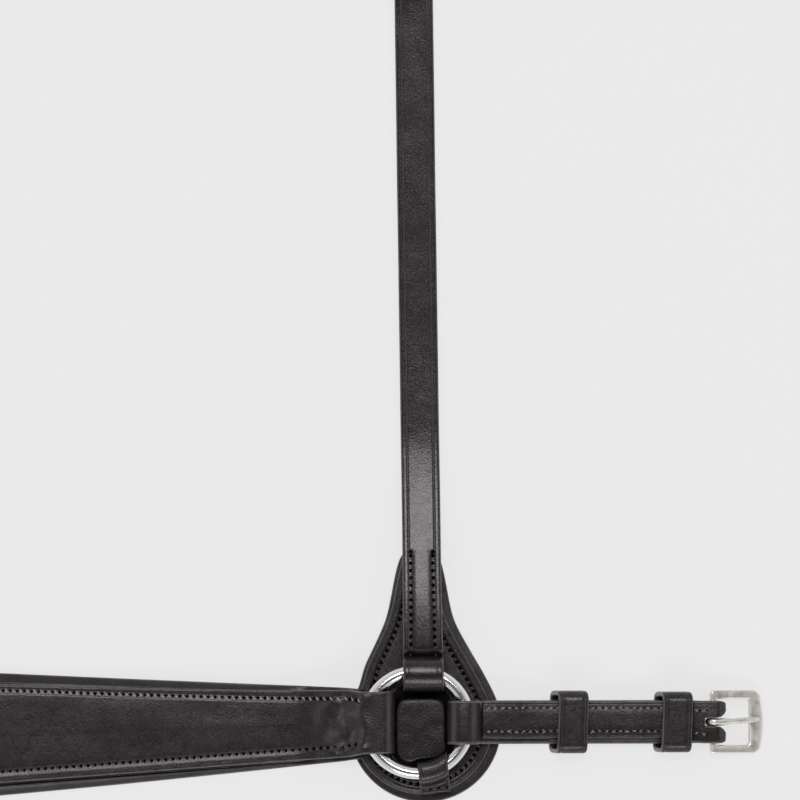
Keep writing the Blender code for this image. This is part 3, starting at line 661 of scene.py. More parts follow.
def safe_pieces():
    outline = safe_outline()
    put = lambda ring, z: np.column_stack([RX + ring[:, 0], RY + ring[:, 1], np.broadcast_to(z, len(ring))])
    flat = lambda ring, e: np.column_stack([ring * 1000, np.full(len(ring), e)])
    loops, lay = [], []
    for e, z in ((0.5, 0.0), (0.15, 0.12), (0.0, 0.45), (0.02, 1.0), (0.12, 1.32), (0.35, 1.54), (0.7, 1.62),
                 (3.0, 1.6)):
        ring = inset(outline, e * MM)
        loops.append(put(ring, z * MM))
        lay.append(flat(ring, max(0.05, e)))
    backing = loop_stack("right_safe_backing", loops, [LINING], lay)
    both_sides(backing, "chest", ["right_safe_backing"], "lining_leather")

    face = inset(outline, 2.4 * MM) + np.array([-1.0, 0.7]) * MM
    loops, lay = [], []
    low = 1.9
    profile = [(0.5, low), (0.1, low + 0.15), (0.0, low + 0.5), (0.03, low + 1.0), (0.14, 3.16), (0.40, 3.34),
               (0.70, 3.50),
               (0.95, 3.62), (1.1, 3.58), (1.25, 3.50), (1.45, 3.60), (1.7, 3.74), (2.2, 3.82), (2.9, 3.84),
               (3.3, 3.76),
               (3.6, 3.62), (3.85, 3.46), (4.15, 3.37), (4.5, 3.37), (4.8, 3.48), (5.1, 3.60), (5.5, 3.68),
               (6.2, 3.72)]
    for e, z in profile:
        ring = inset(face, e * MM)
        loops.append(put(ring, z * MM))
        lay.append(flat(ring, max(0.05, e)))
    inner = inset(face, 6.2 * MM)
    mid = np.array([1.3, -2.6]) * MM
    half = np.array([10.3, 12.6]) * MM

    def dome(share):
        away = inner - mid
        a = np.arctan2(away[:, 1], away[:, 0])
        c, s = np.cos(a), np.sin(a)
        reach = (np.abs(c / half[0]) ** 5 + np.abs(s / half[1]) ** 5) ** (-1 / 5)
        ring = mid + np.column_stack([reach * share * c, reach * share * s])
        bulge = np.exp(-((ring[:, 0] / MM + 3.4) / 3.6) ** 2) * np.clip(-(ring[:, 1] / MM + 8) / 6, 0, 1)
        ring[:, 1] -= 1.5 * MM * bulge * share
        return ring

    edge = dome(1.0)
    for t in (0.35, 0.7):
        ring = inner * (1 - t) + edge * t
        loops.append(put(ring, (3.72 - 0.1 * t) * MM))
        lay.append(flat(ring, 7))
    for share, rise in ((1.0, 0.0), (1.0, 0.30), (0.999, 0.56), (0.995, 0.76), (0.985, 0.88), (0.968, 0.945),
                        (0.94, 0.975),
                        (0.89, 0.988), (0.81, 0.994), (0.70, 0.997), (0.55, 1.0), (0.36, 1.002),
                        (0.18, 1.003)):
        ring = dome(share)
        z = np.full(len(ring), 3.62 * MM + 9.1 * MM * rise)
        for i, (x, y) in enumerate(ring):
            z[i] += rise * 0.12 * MM * noise.noise(Vector((x * 210, y * 210, 1.7)))
        loops.append(put(ring, z))
        lay.append(flat(ring, 7 + rise))
    top = (RX + mid[0], RY + mid[1], 12.8 * MM)
    # The recess floor and the dome's lower flanks take the near-black material: painted shade for the hollow
    # inside the ring.
    flat_loops = len(profile) + 1
    obj = loop_stack("right_safe_face", loops, [BLACK, PAINTED_RECESS_SHADE, DULL], lay, top, (flat_loops, flat_loops + 4))
    right, left = both_sides(obj, "chest", ["right_safe_face"], "black_leather")

    row = inset(face, 4.3 * MM)
    whole = closed(row)
    long = length_along(whole)
    spots = []
    pitch = 2.75 * MM
    for i in range(int(long[-1] / pitch)):
        at = (i + 0.5) * pitch
        x, y = (np.interp(at, long, whole[:, k]) for k in range(2))
        x2, y2 = (np.interp(min(at + 0.3 * MM, long[-1]), long, whole[:, k]) for k in range(2))
        if y > 62 * MM:
            continue
        way = np.array([x2 - x, y2 - y, 0])
        way /= np.linalg.norm(way) + 1e-12
        spots.append(((RX + x, RY + y, 3.42 * MM), way, np.array([-way[1], way[0], 0]), (0, 0, 1)))
    obj = on_spots("right_safe_stitches", spots, 0.33 * MM, 2.2 * MM, THREAD, 0.86 * MM, 1.37 * MM, 1.05,
                   0.80, loose=0.2)
    both_sides(obj, "chest", [], "black_leather")


safe_pieces()


# ---------------------------------------------------------------- safe tab
def make_tab():
    turn = math.radians(6)
    mid = (6.46 * MM, -20.0 * MM)
    along = (math.sin(turn), -math.cos(turn))
    across = (math.cos(turn), math.sin(turn))
    hub_u = -(mid[0] * across[0] + mid[1] * across[1])
    hub_v = -(mid[0] * along[0] + mid[1] * along[1])
    thick, width = 1.3 * MM, 12.4 * MM
    low = 3.85 * MM + GAP + thick / 2
    columns, rise = 13, 3.2 * MM + thick / 2
    top, bottom = [], []
    paths = []
    for j in range(columns):
        u = -width / 2 + width * j / (columns - 1)
        wire = hub_v + math.sqrt(RING_R ** 2 - (u - hub_u) ** 2)
        slant = math.cos(math.asin((u - hub_u) / RING_R))
        fold = 3.2 * MM / slant + thick / 2
        slack = 0.25 * MM * (1 - (u / width + 0.5)) ** 2
        end = 9.3 * MM
        path = [(end, low), (4 * MM, low), (wire + 0.001, low), (wire - fold * 0.75 - slack, low + 0.0016)]
        for v, z in arc((0, 0), 1, 195, 20, 16, 0.7):
            path.append((wire + fold * v - slack * max(0.0, -v), RZ + rise * z))
        high = low + thick + GAP
        path += [(wire + fold + 0.9 * MM, high + 1.5 * MM), (wire + fold + 2.4 * MM, high + 0.1 * MM),
                 (7.4 * MM, high), (end, high)]
        edge = min(j, columns - 1 - j)
        paths.append((u, rounded_path([(v, z, 0) for v, z in path]), edge))
    count = len(paths[0][1])
    for i in range(count):
        upper, lower = [], []
        for u, rows, edge in paths:
            a = rows[max(i - 1, 0)][:2]
            b = rows[min(i + 1, count - 1)][:2]
            run = (b - a) / (np.linalg.norm(b - a) + 1e-12)
            e = edge * width / (columns - 1)
            dip = 0.45 * MM if edge == 0 else (0.10 * MM if edge == 1 else 0.0)
            for row, sense in ((upper, 1), (lower, -1)):
                reach = thick / 2 - (dip if sense > 0 else dip * 0.5)
                v = rows[i][0] - run[1] * reach * sense
                z = rows[i][1] + run[0] * reach * sense
                row.append((RX + mid[0] + across[0] * u + along[0] * v,
                            RY + mid[1] + across[1] * u + along[1] * v, z, u, i, e))
        top.append(upper)
        bottom.append(lower)
    grid = np.array([t + b[::-1] for t, b in zip(top, bottom)])
    faces = tube_faces(*grid.shape[:2])
    lay = grid[..., 3:6].reshape(-1, 3) * np.array([1000, 0.5, 1000]) + np.array([0, 0, 0.1])
    obj = mesh_object("right_safe_tab", grid[..., :3].reshape(-1, 3), faces, [BLACK], lay)
    both_sides(obj, "chest", ["right_safe_tab"], "black_leather")
    spots = []
    high = low + 1.5 * thick + GAP
    for k in (-3.6, -0.2, 3.2):
        p = (RX + mid[0] + across[0] * k * MM + along[0] * 7.4 * MM,
             RY + mid[1] + across[1] * k * MM + along[1] * 7.4 * MM, high)
        spots.append((p, np.array([*across, 0]), np.array([-across[1], across[0], 0]), (0, 0, 1)))
    obj = on_spots("right_tab_stitches", spots, 0.34 * MM, 1.9 * MM, THREAD, 0.5 * MM, 1.7 * MM, 0.2)
    both_sides(obj, "chest", [], "black_leather")


make_tab()


# ---------------------------------------------------------------- chest strap
def share_of(u):
    return np.clip((u - 0.028) / (RX - 0.028), 0, 1)


def lining_width(u):
    return (60.0 - 30.8 * (1 - share_of(u)) ** 1.13 - 1.3 * np.clip((0.030 - u) / 0.0075, 0, 1)) * MM


def facing_width(u):
    narrow = 25.4 + 2.1 * np.clip((u - 0.0225) / 0.0055, 0, 1)
    return np.where(u < 0.028, narrow, 27.5 + 22.5 * share_of(u) ** 1.15) * MM


def chest_dip(u):
    share = np.clip((u - 0.010) / (RX - 0.010), 0, 1)
    return -6.0 * MM * (1 - (1 - share) ** 1.6)


def chest_rows(path, thick, width, shift=0.0):
    rows = []
    for u, z in path:
        rows.append((RX - u, RY + float(chest_dip(u)) + shift, z, 0, 1, 0, float(width(u)), thick, u))
    return with_mirror(np.array(rows))


def make_chest():
    flat = [0.0500 + (RX - 0.0500) * i / 36 for i in range(37)]
    path = [(0.0226, 5.5 * MM), (0.0260, 5.5 * MM), (0.0300, 5.35 * MM)] + ease((0.0300, 5.35 * MM),
            (0.0480, 0.8 * MM), 6)
    rows = chest_rows(path + [(u, 0.8 * MM) for u in flat], 1.6 * MM, lambda u: lining_width(u) + 0.7 * MM,
                      -0.35 * MM)

    def rolled(e, s, v, u):
        """The lining swells from its edge up to the facing, and has a fold line along its upper band."""
        far = np.clip((u - 0.045) / 0.020, 0, 1)
        over = (lining_width(u) - facing_width(u)) / 2
        share = np.clip(e / (over + 1.5 * MM), 0, 1)
        swell = 2.8 * MM * far * share * (2 - share)
        swell -= 1.1 * MM * far * np.exp(-((e - over - 0.1 * MM) / (0.55 * MM)) ** 2) * np.where(s > 0, 0.12,
                1.0)
        line = 0.16 * MM * np.exp(-((e - over + 0.9 * MM) / (0.26 * MM)) ** 2) * np.clip((u - 0.13) / 0.05, 0,
                1)
        return swell + line * np.where(s > 0, 1, 0)

    lining = Strap(rows, rolled, 2.0 * MM, 0.5 * MM, edge_in=WIDE_EDGE_IN)
    obj = lining.build("chest_lining", LINING)
    finish_piece(obj, "chest", ["chest_lining"], "lining_leather")
    flat = [0.0510 + (RX - 0.0510) * i / 40 for i in range(41)]
    rows = chest_rows([(u, 3.15 * MM) for u in flat], 2.5 * MM, lambda u: 0.64 * facing_width(u))
    obj = Strap(rows, level, 3.0 * MM, 1.0 * MM).build("chest_padding", FELT)
    finish_piece(obj, "chest", ["chest_padding"], "foam")

    thick = 2.2 * MM
    fold = 4.15 * MM
    hub = 9.1 * MM + thick / 2 + fold
    resting, seated = 1.9 * MM + thick / 2, 4.7 * MM + thick / 2
    path = [(0.0480, resting), (0.0460, resting)] + ease((0.0460, resting), (0.0300, RZ - fold), 5)
    path += [(0.0230, RZ - fold)] + arc((hub, RZ), fold, -90, -270, 12)
    path += arc((RING_R + GAP, RZ), fold, 90, 50, 4)
    crest = RZ - fold + thick + GAP
    path += [(0.0262, crest + 2.9 * MM), (0.0285, crest + 1.6 * MM), (0.0312, crest + 0.6 * MM),
             (0.0345, crest - 0.4 * MM),
             (0.0385, crest - 1.6 * MM), (0.0430, crest - 3.0 * MM), (0.0480, crest - 4.0 * MM),
             (0.0530, seated)]
    path += [(u, seated) for u in flat[1:]]
    rows = chest_rows(path, thick, facing_width)

    def seam_in(u, above):
        return np.where(above, 3.4 * MM - 1.0 * MM * np.clip((u - 0.05) / 0.10, 0, 1), 4.4 * MM)

    def relief(e, s, v, u):
        far = np.clip((u - 0.050) / 0.015, 0, 1)
        upper = np.clip((v - 0.050) / 0.004, 0, 1) * np.clip((facing.at[-1] - 0.050 - v) / 0.004, 0, 1)
        above = s > 0
        seam = seam_in(u, above)
        past = (e - seam) / MM
        lip = np.where(above, np.interp(past, (-9, -0.9, 0), (0.0, 0.0, -0.30)),
                       np.interp(past, (-9, -3.8, -1.75, -0.45, 0), (0.0, 0.0, -0.03, -0.22, -0.34)))
        crown = np.interp(past, (0, 0.7, 1.6, 4.0, 11.0), (0.0, 0.10, 0.32, 0.38, 0.46)) * MM
        flange = (lip * MM + crown) * upper * np.clip((u - 0.020) / 0.004, 0, 1)
        a, b = s * 1000, u * 1000
        near = np.exp(-((b - 28.5) / 8.0) ** 2) * upper * np.clip(e / (2.5 * MM), 0, 1)
        folds = 0.55 * np.sin(a * 0.30 + b * 0.46 + 0.9) + 0.35 * np.sin(a * 0.52 - b * 0.34 + 2.3)
        slow = 0.05 * MM * far * (np.sin(b * 0.11 + a * 0.16) + np.sin(b * 0.071 - a * 0.21 + 1.0))
        return flange + folds * near * 0.95 * MM + slow * np.clip(e / (8 * MM), 0, 1)

    facing = Strap(rows, relief, 0.95 * MM, 0.7 * MM, edge_in=WIDE_EDGE_IN, inside=WIDE_INSIDE)
    obj = facing.build("chest_facing", BLACK, 0.18 * MM)
    finish_piece(obj, "chest", ["chest_facing"], "black_leather")
    half = len(facing.at) // 2
    first = int(np.argmax(facing.at > 0.050))
    u_to_v = lambda u: float(np.interp(u, facing.spare[first:half], facing.at[first:half]))
    top, bottom = [], []
    pitch = 2.9 * MM
    steps = int((RX - 0.0235) / pitch)
    for i in range(steps):
        u = 0.0235 + pitch * i
        v = u_to_v(u)
        width = float(np.interp(v, facing.at, facing.width))
        top.append(facing.spot(v, width / 2 - float(seam_in(u, True))))
        bottom.append(facing.spot(v, -(width / 2 - float(seam_in(u, False)))))
    obj = on_spots("right_chest_stitches_upper", top, 0.36 * MM, 2.3 * MM, SHEEN_PAINTED_THREAD, 0.74 * MM, 1.45 * MM,
                   0.95, 0.85, loose=0.14)
    finish_piece(obj, "chest", (), "black_leather", ("left_chest_stitches_upper", "chest", ()))
    obj = on_spots("right_chest_stitches_lower", bottom, 0.34 * MM, 2.0 * MM, THREAD, 0.74 * MM, 1.45 * MM,
                   0.95, 0.85, loose=0.14)
    finish_piece(obj, "chest", (), "black_leather", ("left_chest_stitches_lower", "chest", ()))


make_chest()


# ---------------------------------------------------------------- girth chape, keepers and buckle
BAR_X, BAR_Z, BAR_R = 121.5 * MM, 6.1 * MM, 1.5 * MM
CHAPE_T = 2.0 * MM


def make_chape():
    half = CHAPE_T / 2
    fold = 5.3 * MM
    low = 3.3 * MM
    core = low + half + GAP
    high = core + 1.5 * MM + GAP + half
    loop_low = RZ - fold
    end_fold = BAR_Z - low
    lobe = 126.5 * MM - half - end_fold
    start = (26.25 * MM, loop_low + CHAPE_T + 1.4 * MM)
    path = [start] + ease(start, (0.0520, high), 6)
    path += [(0.0800, high), (0.1060, high)] + ease((0.1060, high), (0.1160, BAR_Z + end_fold), 4)
    path += [(0.1190, BAR_Z + end_fold)] + arc((lobe, BAR_Z), end_fold, 90, -90, 10)
    bend = len(path) - 5
    path += [(0.1160, low), (0.1080, low), (0.0800, low), (0.0520, low)]
    path += list(reversed(ease((0.0270, loop_low), (0.0520, low), 5)))[1:] + [(0.0270, loop_low),
            (0.0240, loop_low)]
    path += arc((12.1 * MM + half + fold, RZ), fold, -90, -270, 14, 0.86)
    path += arc((25.8 * MM - half - fold, RZ), fold, 90, 2, 8, 0.86)
    rows = []
    for i, (u, z) in enumerate(path):
        on_top = i < bend
        near_end = min(1.0, max(0.0, (u - 0.108) / 0.008))
        trim = 1.0 if on_top and u < 0.118 else 0.0
        trim *= 1 - near_end
        width = (17.9 - 2.3 * trim - 0.5 * near_end) * MM
        corner = 3.0 * MM
        beyond = min(corner, max(0.0, u - (0.1266 - corner)))
        width -= 2 * (corner - math.sqrt(corner ** 2 - (0.97 * beyond) ** 2))
        rows.append((RX + u, RY + (1.1 * trim - 0.1) * MM, z, 0, -1, 0, width, CHAPE_T, trim))

    def relief(e, s, v, spare):
        crown = 0.20 * MM * np.clip(e / (5 * MM), 0, 1)
        return (crown + crease(e, 1.25 * MM, 0.15 * MM, 0.2 * MM) * (0.4 + 0.6 * spare)
                + groove(e, 3.0 * MM, 0.05 * MM, 1.2 * MM) * np.where(spare > 0.5, 1, 0))

    chape = Strap(rows, relief, 0.9 * MM, 0.7 * MM)
    obj = chape.build("right_girth_chape", BLACK)
    outline = [(0.1180, -0.0016), (0.1225, -0.0017), (0.1243, -0.0021), (0.1256, -0.0031), (0.1285, -0.0075),
               (0.1285, 0.0075), (0.1256, 0.0031), (0.1243, 0.0021), (0.1225, 0.0017), (0.1180, 0.0016)]
    count = len(outline)
    faces = [tuple(range(count))[::-1], tuple(range(count, 2 * count))]
    faces += [(i, (i + 1) % count, count + (i + 1) % count, count + i) for i in range(count)]
    cutter = mesh_object("slot_cutter", [(RX + x, RY + y, z) for z in (-0.001, 0.02) for x, y in outline],
                         faces, [BLACK])
    cut = obj.modifiers.new("slot", "BOOLEAN")
    cut.operation, cut.solver, cut.object = "DIFFERENCE", "EXACT", cutter
    bpy.context.view_layer.update()
    graph = bpy.context.evaluated_depsgraph_get()
    done = bpy.data.meshes.new_from_object(obj.evaluated_get(graph))
    obj.modifiers.clear()
    obj.data = done
    bpy.data.objects.remove(cutter)
    lay = np.array([((v.co.y - RY) * 1000, (v.co.x - RX) * 1000, 0) for v in done.vertices])
    side = np.abs(lay[:, 0])
    lay[:, 2] = np.where(lay[:, 1] > 117, np.minimum(8.6 - side, side - 1.5), 8.4 - side)
    if "lay" in done.attributes:
        done.attributes.remove(done.attributes["lay"])
    done.attributes.new("lay", "FLOAT_VECTOR", "POINT").data.foreach_set("vector",
            lay.astype(np.float32).ravel())
    both_sides(obj, "girth", ["right_girth_chape"], "black_leather")

    spots = []
    far_end = int(np.argmax(chape.point[:, 0]))
    for sign, across in ((1, 4.85), (-1, 4.75)):
        for i in range(32):
            x = 0.0290 + 0.00285 * i
            v = float(np.interp(x, chape.point[:far_end, 0] - RX, chape.at[:far_end]))
            spots.append(chape.spot(v, sign * across * MM))
    obj = on_spots("right_chape_stitches", spots, 0.19 * MM, 1.75 * MM, SHEEN_PAINTED_THREAD, 0.36 * MM, 1.43 * MM,
                   0.6, loose=0.55, strands=2)
    both_sides(obj, "girth", [], "black_leather")
    rows = [(RX + 0.054 + 0.053 * i / 10, RY, core + 0.75 * MM, 0, -1, 0, 15.6 * MM, 1.5 * MM, 0)
            for i in range(11)]
    obj = Strap(rows, level, 1.5 * MM, 0.3 * MM).build("right_chape_filler", CORE)
    both_sides(obj, "girth", ["right_chape_filler"], "core_leather")


def rounded_loop(y, z0, z1, radius, steps=8):
    """A rounded rectangle across the strap, from -y to y."""
    pts = []
    for cy, cz, a0 in ((y - radius, z1 - radius, 0), (-y + radius, z1 - radius, 90),
                       (-y + radius, z0 + radius, 180), (y - radius, z0 + radius, 270)):
        for i in range(steps + 1):
            a = math.radians(a0 + 90 * i / steps)
            pts.append((cy + radius * math.cos(a), cz + radius * math.sin(a)))
    return pts


def make_keeper(name, at, body, span_y):
    """A band folded to a flat loop round the strap, leaning over, its ends butted underneath."""
    wall, rise, lean = 1.9 * MM, 14.0 * MM, 0.28
    half = 6.1                                   # half the band's width; xs, es and h are in mm too
    y = span_y / 2 - wall / 2
    path = np.array(rounded_loop(y, wall / 2, rise - wall / 2, 2.6 * MM))
    path = closed(path)
    path, _ = evenly(np.column_stack([path, np.zeros(len(path))]), 0.5 * MM)
    path = path[:-1]
    n = len(path)
    along = unit_rows(np.roll(path, -1, 0) - np.roll(path, 1, 0))
    out = np.column_stack([along[:, 1], -along[:, 0]])
    e_list = np.array([0, 0.06, 0.2, 0.42, 0.75, 1.1, 1.35, 1.5, 1.65, 1.9, 2.4, 3.4])
    xs = np.concatenate([-(half - e_list), [-1.4, 1.4], (half - e_list)[::-1]])
    es = half - np.abs(xs)
    h = 0.95 - edge_dip(es, 0.62) - 0.26 * np.exp(-((es - 1.75) / 0.2) ** 2) + 0.16 * np.exp(-((es
            - 1.25) / 0.25) ** 2) + 0.14 * np.clip(es / 4, 0, 1)
    xb = np.array([5.95, 5.2, 0, -5.2, -5.95])
    hb = np.array([-0.70, -0.95, -0.95, -0.95, -0.70])
    xs, h, es = np.concatenate([xs, xb]), np.concatenate([h, hb]), np.concatenate([es,
            [0.1, 0.8, 5, 0.8, 0.1]])
    py = path[:, None, 0] + out[:, None, 0] * (h * MM)[None, :]
    pz = path[:, None, 1] + out[:, None, 1] * (h * MM)[None, :]
    sag = 0.25 * MM * np.cos(py / span_y * math.pi) * (pz > rise / 2)
    px = at + xs[None, :] * MM + lean * (pz - rise / 2) + 0.25 * MM * np.sin(py * 160)
    p = np.stack([RX + px, RY + py, pz + sag * 0.4], -1)
    faces = tube_faces(n, len(xs), True)
    lay = np.stack(np.broadcast_arrays(xs[None, :], np.arange(n)[:, None] * 0.5, es[None, :]), -1).reshape(-1,
            3)
    obj = mesh_object("right_" + name, p.reshape(-1, 3), faces, [BLACK], lay)
    both_sides(obj, body, ["right_" + name], "black_leather")


def rounded(x0, x1, y0, y1, near, far, bulge, steps=8):
    """A rectangle with rounded corners, whose far side bows outwards."""
    corners = ((x1, y1, far, 0, -1, -1, 8), (x0, y1, near, 90, 1, -1, 10),
               (x0, y0, near, 180, 1, 1, 8), (x1, y0, far, 270, -1, 1, 16))
    turns = []
    for x, y, radius, start, sx, sy, _ in corners:
        angles = [math.radians(start + 90 * i / steps) for i in range(steps + 1)]
        turns.append([(x + radius * (sx + math.cos(a)), y + radius * (sy + math.sin(a))) for a in angles])
    points = []
    for turn, after, corner in zip(turns, turns[1:] + turns[:1], corners):
        (bx, by), (ex, ey), parts = turn[-1], after[0], corner[-1]
        points += turn
        points += [(bx + (ex - bx) * i / parts, by + (ey - by) * i / parts) for i in range(1, parts)]
    p = np.array(points)
    half, middle = (y1 - y0) / 2, (y0 + y1) / 2
    p[:, 0] += bulge * np.clip((p[:, 0] - x0) / (x1 - x0) * 2 - 1, 0,
                               1) * (1 - ((p[:, 1] - middle) / half) ** 2)
    return p


TILT = math.radians(-13)


def tilted(p):
    """Points of the buckle, about its bar, leaning down by TILT."""
    c, s = math.cos(TILT), math.sin(TILT)
    x, y, z = p[..., 0], p[..., 1], p[..., 2]
    return np.stack([RX + BAR_X + c * x - s * z, RY + y, BAR_Z + s * x + c * z], -1)


def make_buckle():
    outer = rounded(-1.5 * MM, 18.8 * MM, -12.95 * MM, 12.95 * MM, 1.3 * MM, 3.3 * MM, 1.8 * MM)
    inner = rounded(1.4 * MM, 14.7 * MM, -9.5 * MM, 9.5 * MM, 0.4 * MM, 1.2 * MM, 0.1 * MM)
    q = np.linspace(0, 2 * math.pi, 20, endpoint=False)
    c, s = np.cos(q), np.sin(q)
    a, b = np.sign(c) * np.abs(c) ** 0.30, np.sign(s) * np.abs(s) ** 0.26
    mid, reach = (outer + inner) / 2, (outer - inner) / 2
    p = np.concatenate([mid[:, None, :] + reach[:, None, :] * a[None, :, None],
                        np.broadcast_to((1.5 * MM * b)[None, :, None], (len(mid), 20, 1))], -1)
    p = tilted(p)
    faces = tube_faces(len(mid), 20, True)
    obj = mesh_object("right_buckle_frame", p.reshape(-1, 3), faces, [SATIN], plain_lay(len(mid) * 20))
    both_sides(obj, "frame", ["right_buckle_frame"], "satin_steel")
    eye = 2.75 * MM
    path = arc((0, 0), eye, 250, 90, 14) + [(2 * MM, eye), (4.6 * MM, eye), (8 * MM, eye),
                                            (12 * MM, eye - 0.05 * MM),
                                            (16 * MM, eye - 0.15 * MM), (18.2 * MM, eye - 0.45 * MM),
                                            (18.9 * MM, eye - 0.8 * MM)]
    rows, at = evenly(rounded_path([(x, 0, z) for x, z in path]), 0.35 * MM)
    along = unit_rows(np.gradient(rows, at, axis=0))
    up = np.column_stack([-along[:, 2], along[:, 0] * 0, along[:, 0]])
    up *= np.sign(up[-1, 2])
    x = rows[:, 0]
    w = np.interp(x, [-0.003, 0.003, 0.0078, 0.0095, 0.0155, 0.0182, 0.0190],
                  [1.5, 1.5, 0.95, 1.12, 1.15, 1.0, 0.35]) * MM
    w[at < 0.004] = 1.5 * MM
    t = np.interp(x, [0.0, 0.010, 0.017, 0.019], [0.7, 0.78, 0.7, 0.3]) * MM
    q = np.linspace(0, 2 * math.pi, 12, endpoint=False)
    p = (rows[:, None, :] + np.array([0, 1, 0]) * (w[:, None] * np.cos(q))[..., None] + up[:, None,
            :] * (t[:, None] * np.sin(q))[..., None])
    p[..., 1] += 0.12 * np.clip(p[..., 0] - 0.002, 0, 1) * 0.5
    p = tilted(p)
    faces = tube_faces(len(rows), 12)
    obj = mesh_object("right_buckle_tongue", p.reshape(-1, 3), faces, [SATIN], plain_lay(len(rows) * 12))
    both_sides(obj, "tongue", ["right_buckle_tongue"], "satin_steel")


make_chape()
make_keeper("running_keeper", 62.0 * MM, "slider", 25.4 * MM)
make_keeper("fixed_keeper", 104.7 * MM, "girth", 24.6 * MM)
make_buckle()


# ---------------------------------------------------------------- square and fork
def make_square():
    c, s = math.cos(TILT), math.sin(TILT)
    at, z0, wire = 35.0 * MM, 10.5 * MM, 1.8 * MM
    flat = closed(np.array(rounded_loop(12.7 * MM, 0, 13.4 * MM, 2.2 * MM)))
    flat, _ = evenly(np.column_stack([flat, np.zeros(len(flat))]), 0.6 * MM)
    flat = flat[:-1]
    path = np.column_stack([flat[:, 0], at + c * flat[:, 1], z0 + s * flat[:, 1]])
    obj = tube_ring("chest_square", path, (0, -s, c), wire, 18, RINGS)
    finish_piece(obj, "square", ["chest_square"], "polished_steel")
    fold, thick = 3.0 * MM, 1.8 * MM
    low = 8.1 * MM
    high = low + 2.1 * MM
    path = [(-8 * MM, low), (10 * MM, low), (24 * MM, low)] + ease((24 * MM, low), (at, z0 - fold), 4)[:-1]
    path += arc((at, z0), fold, -90, 90, 10) + ease((at, z0 + fold), (24 * MM, high), 4) + [(5 * MM, high),
            (-12 * MM, high)]
    rows = [(0, y, z, 1, 0, 0, 19 * MM, thick, y) for y, z in path]
    chape = Strap(rows, crowned(0.1, 4, 1.3, 0.2), 0.9 * MM, 0.6 * MM)
    finish_piece(chape.build("square_chape", STRAP), "chest", ["square_chape"], "black_leather")
    spots = []
    for sign in (-1, 1):
        for i in range(11):
            v = chape.at[-1] - (2.5 + 2.9 * i) * MM
            spots.append(chape.spot(v, sign * 6.9 * MM))
    for i in range(4):
        spots.append(crosswise(chape.spot(chape.at[-1] - 2.2 * MM, (-4.4 + 2.9 * i) * MM)))
    finish_piece(on_spots("square_chape_stitches", spots, 0.34 * MM, 2.1 * MM, SHEEN_PAINTED_THREAD, 0.45 * MM,
                          1.45 * MM, 0.3), "chest", (), "black_leather")
    return at + c * 13.4 * MM, z0 + s * 13.4 * MM


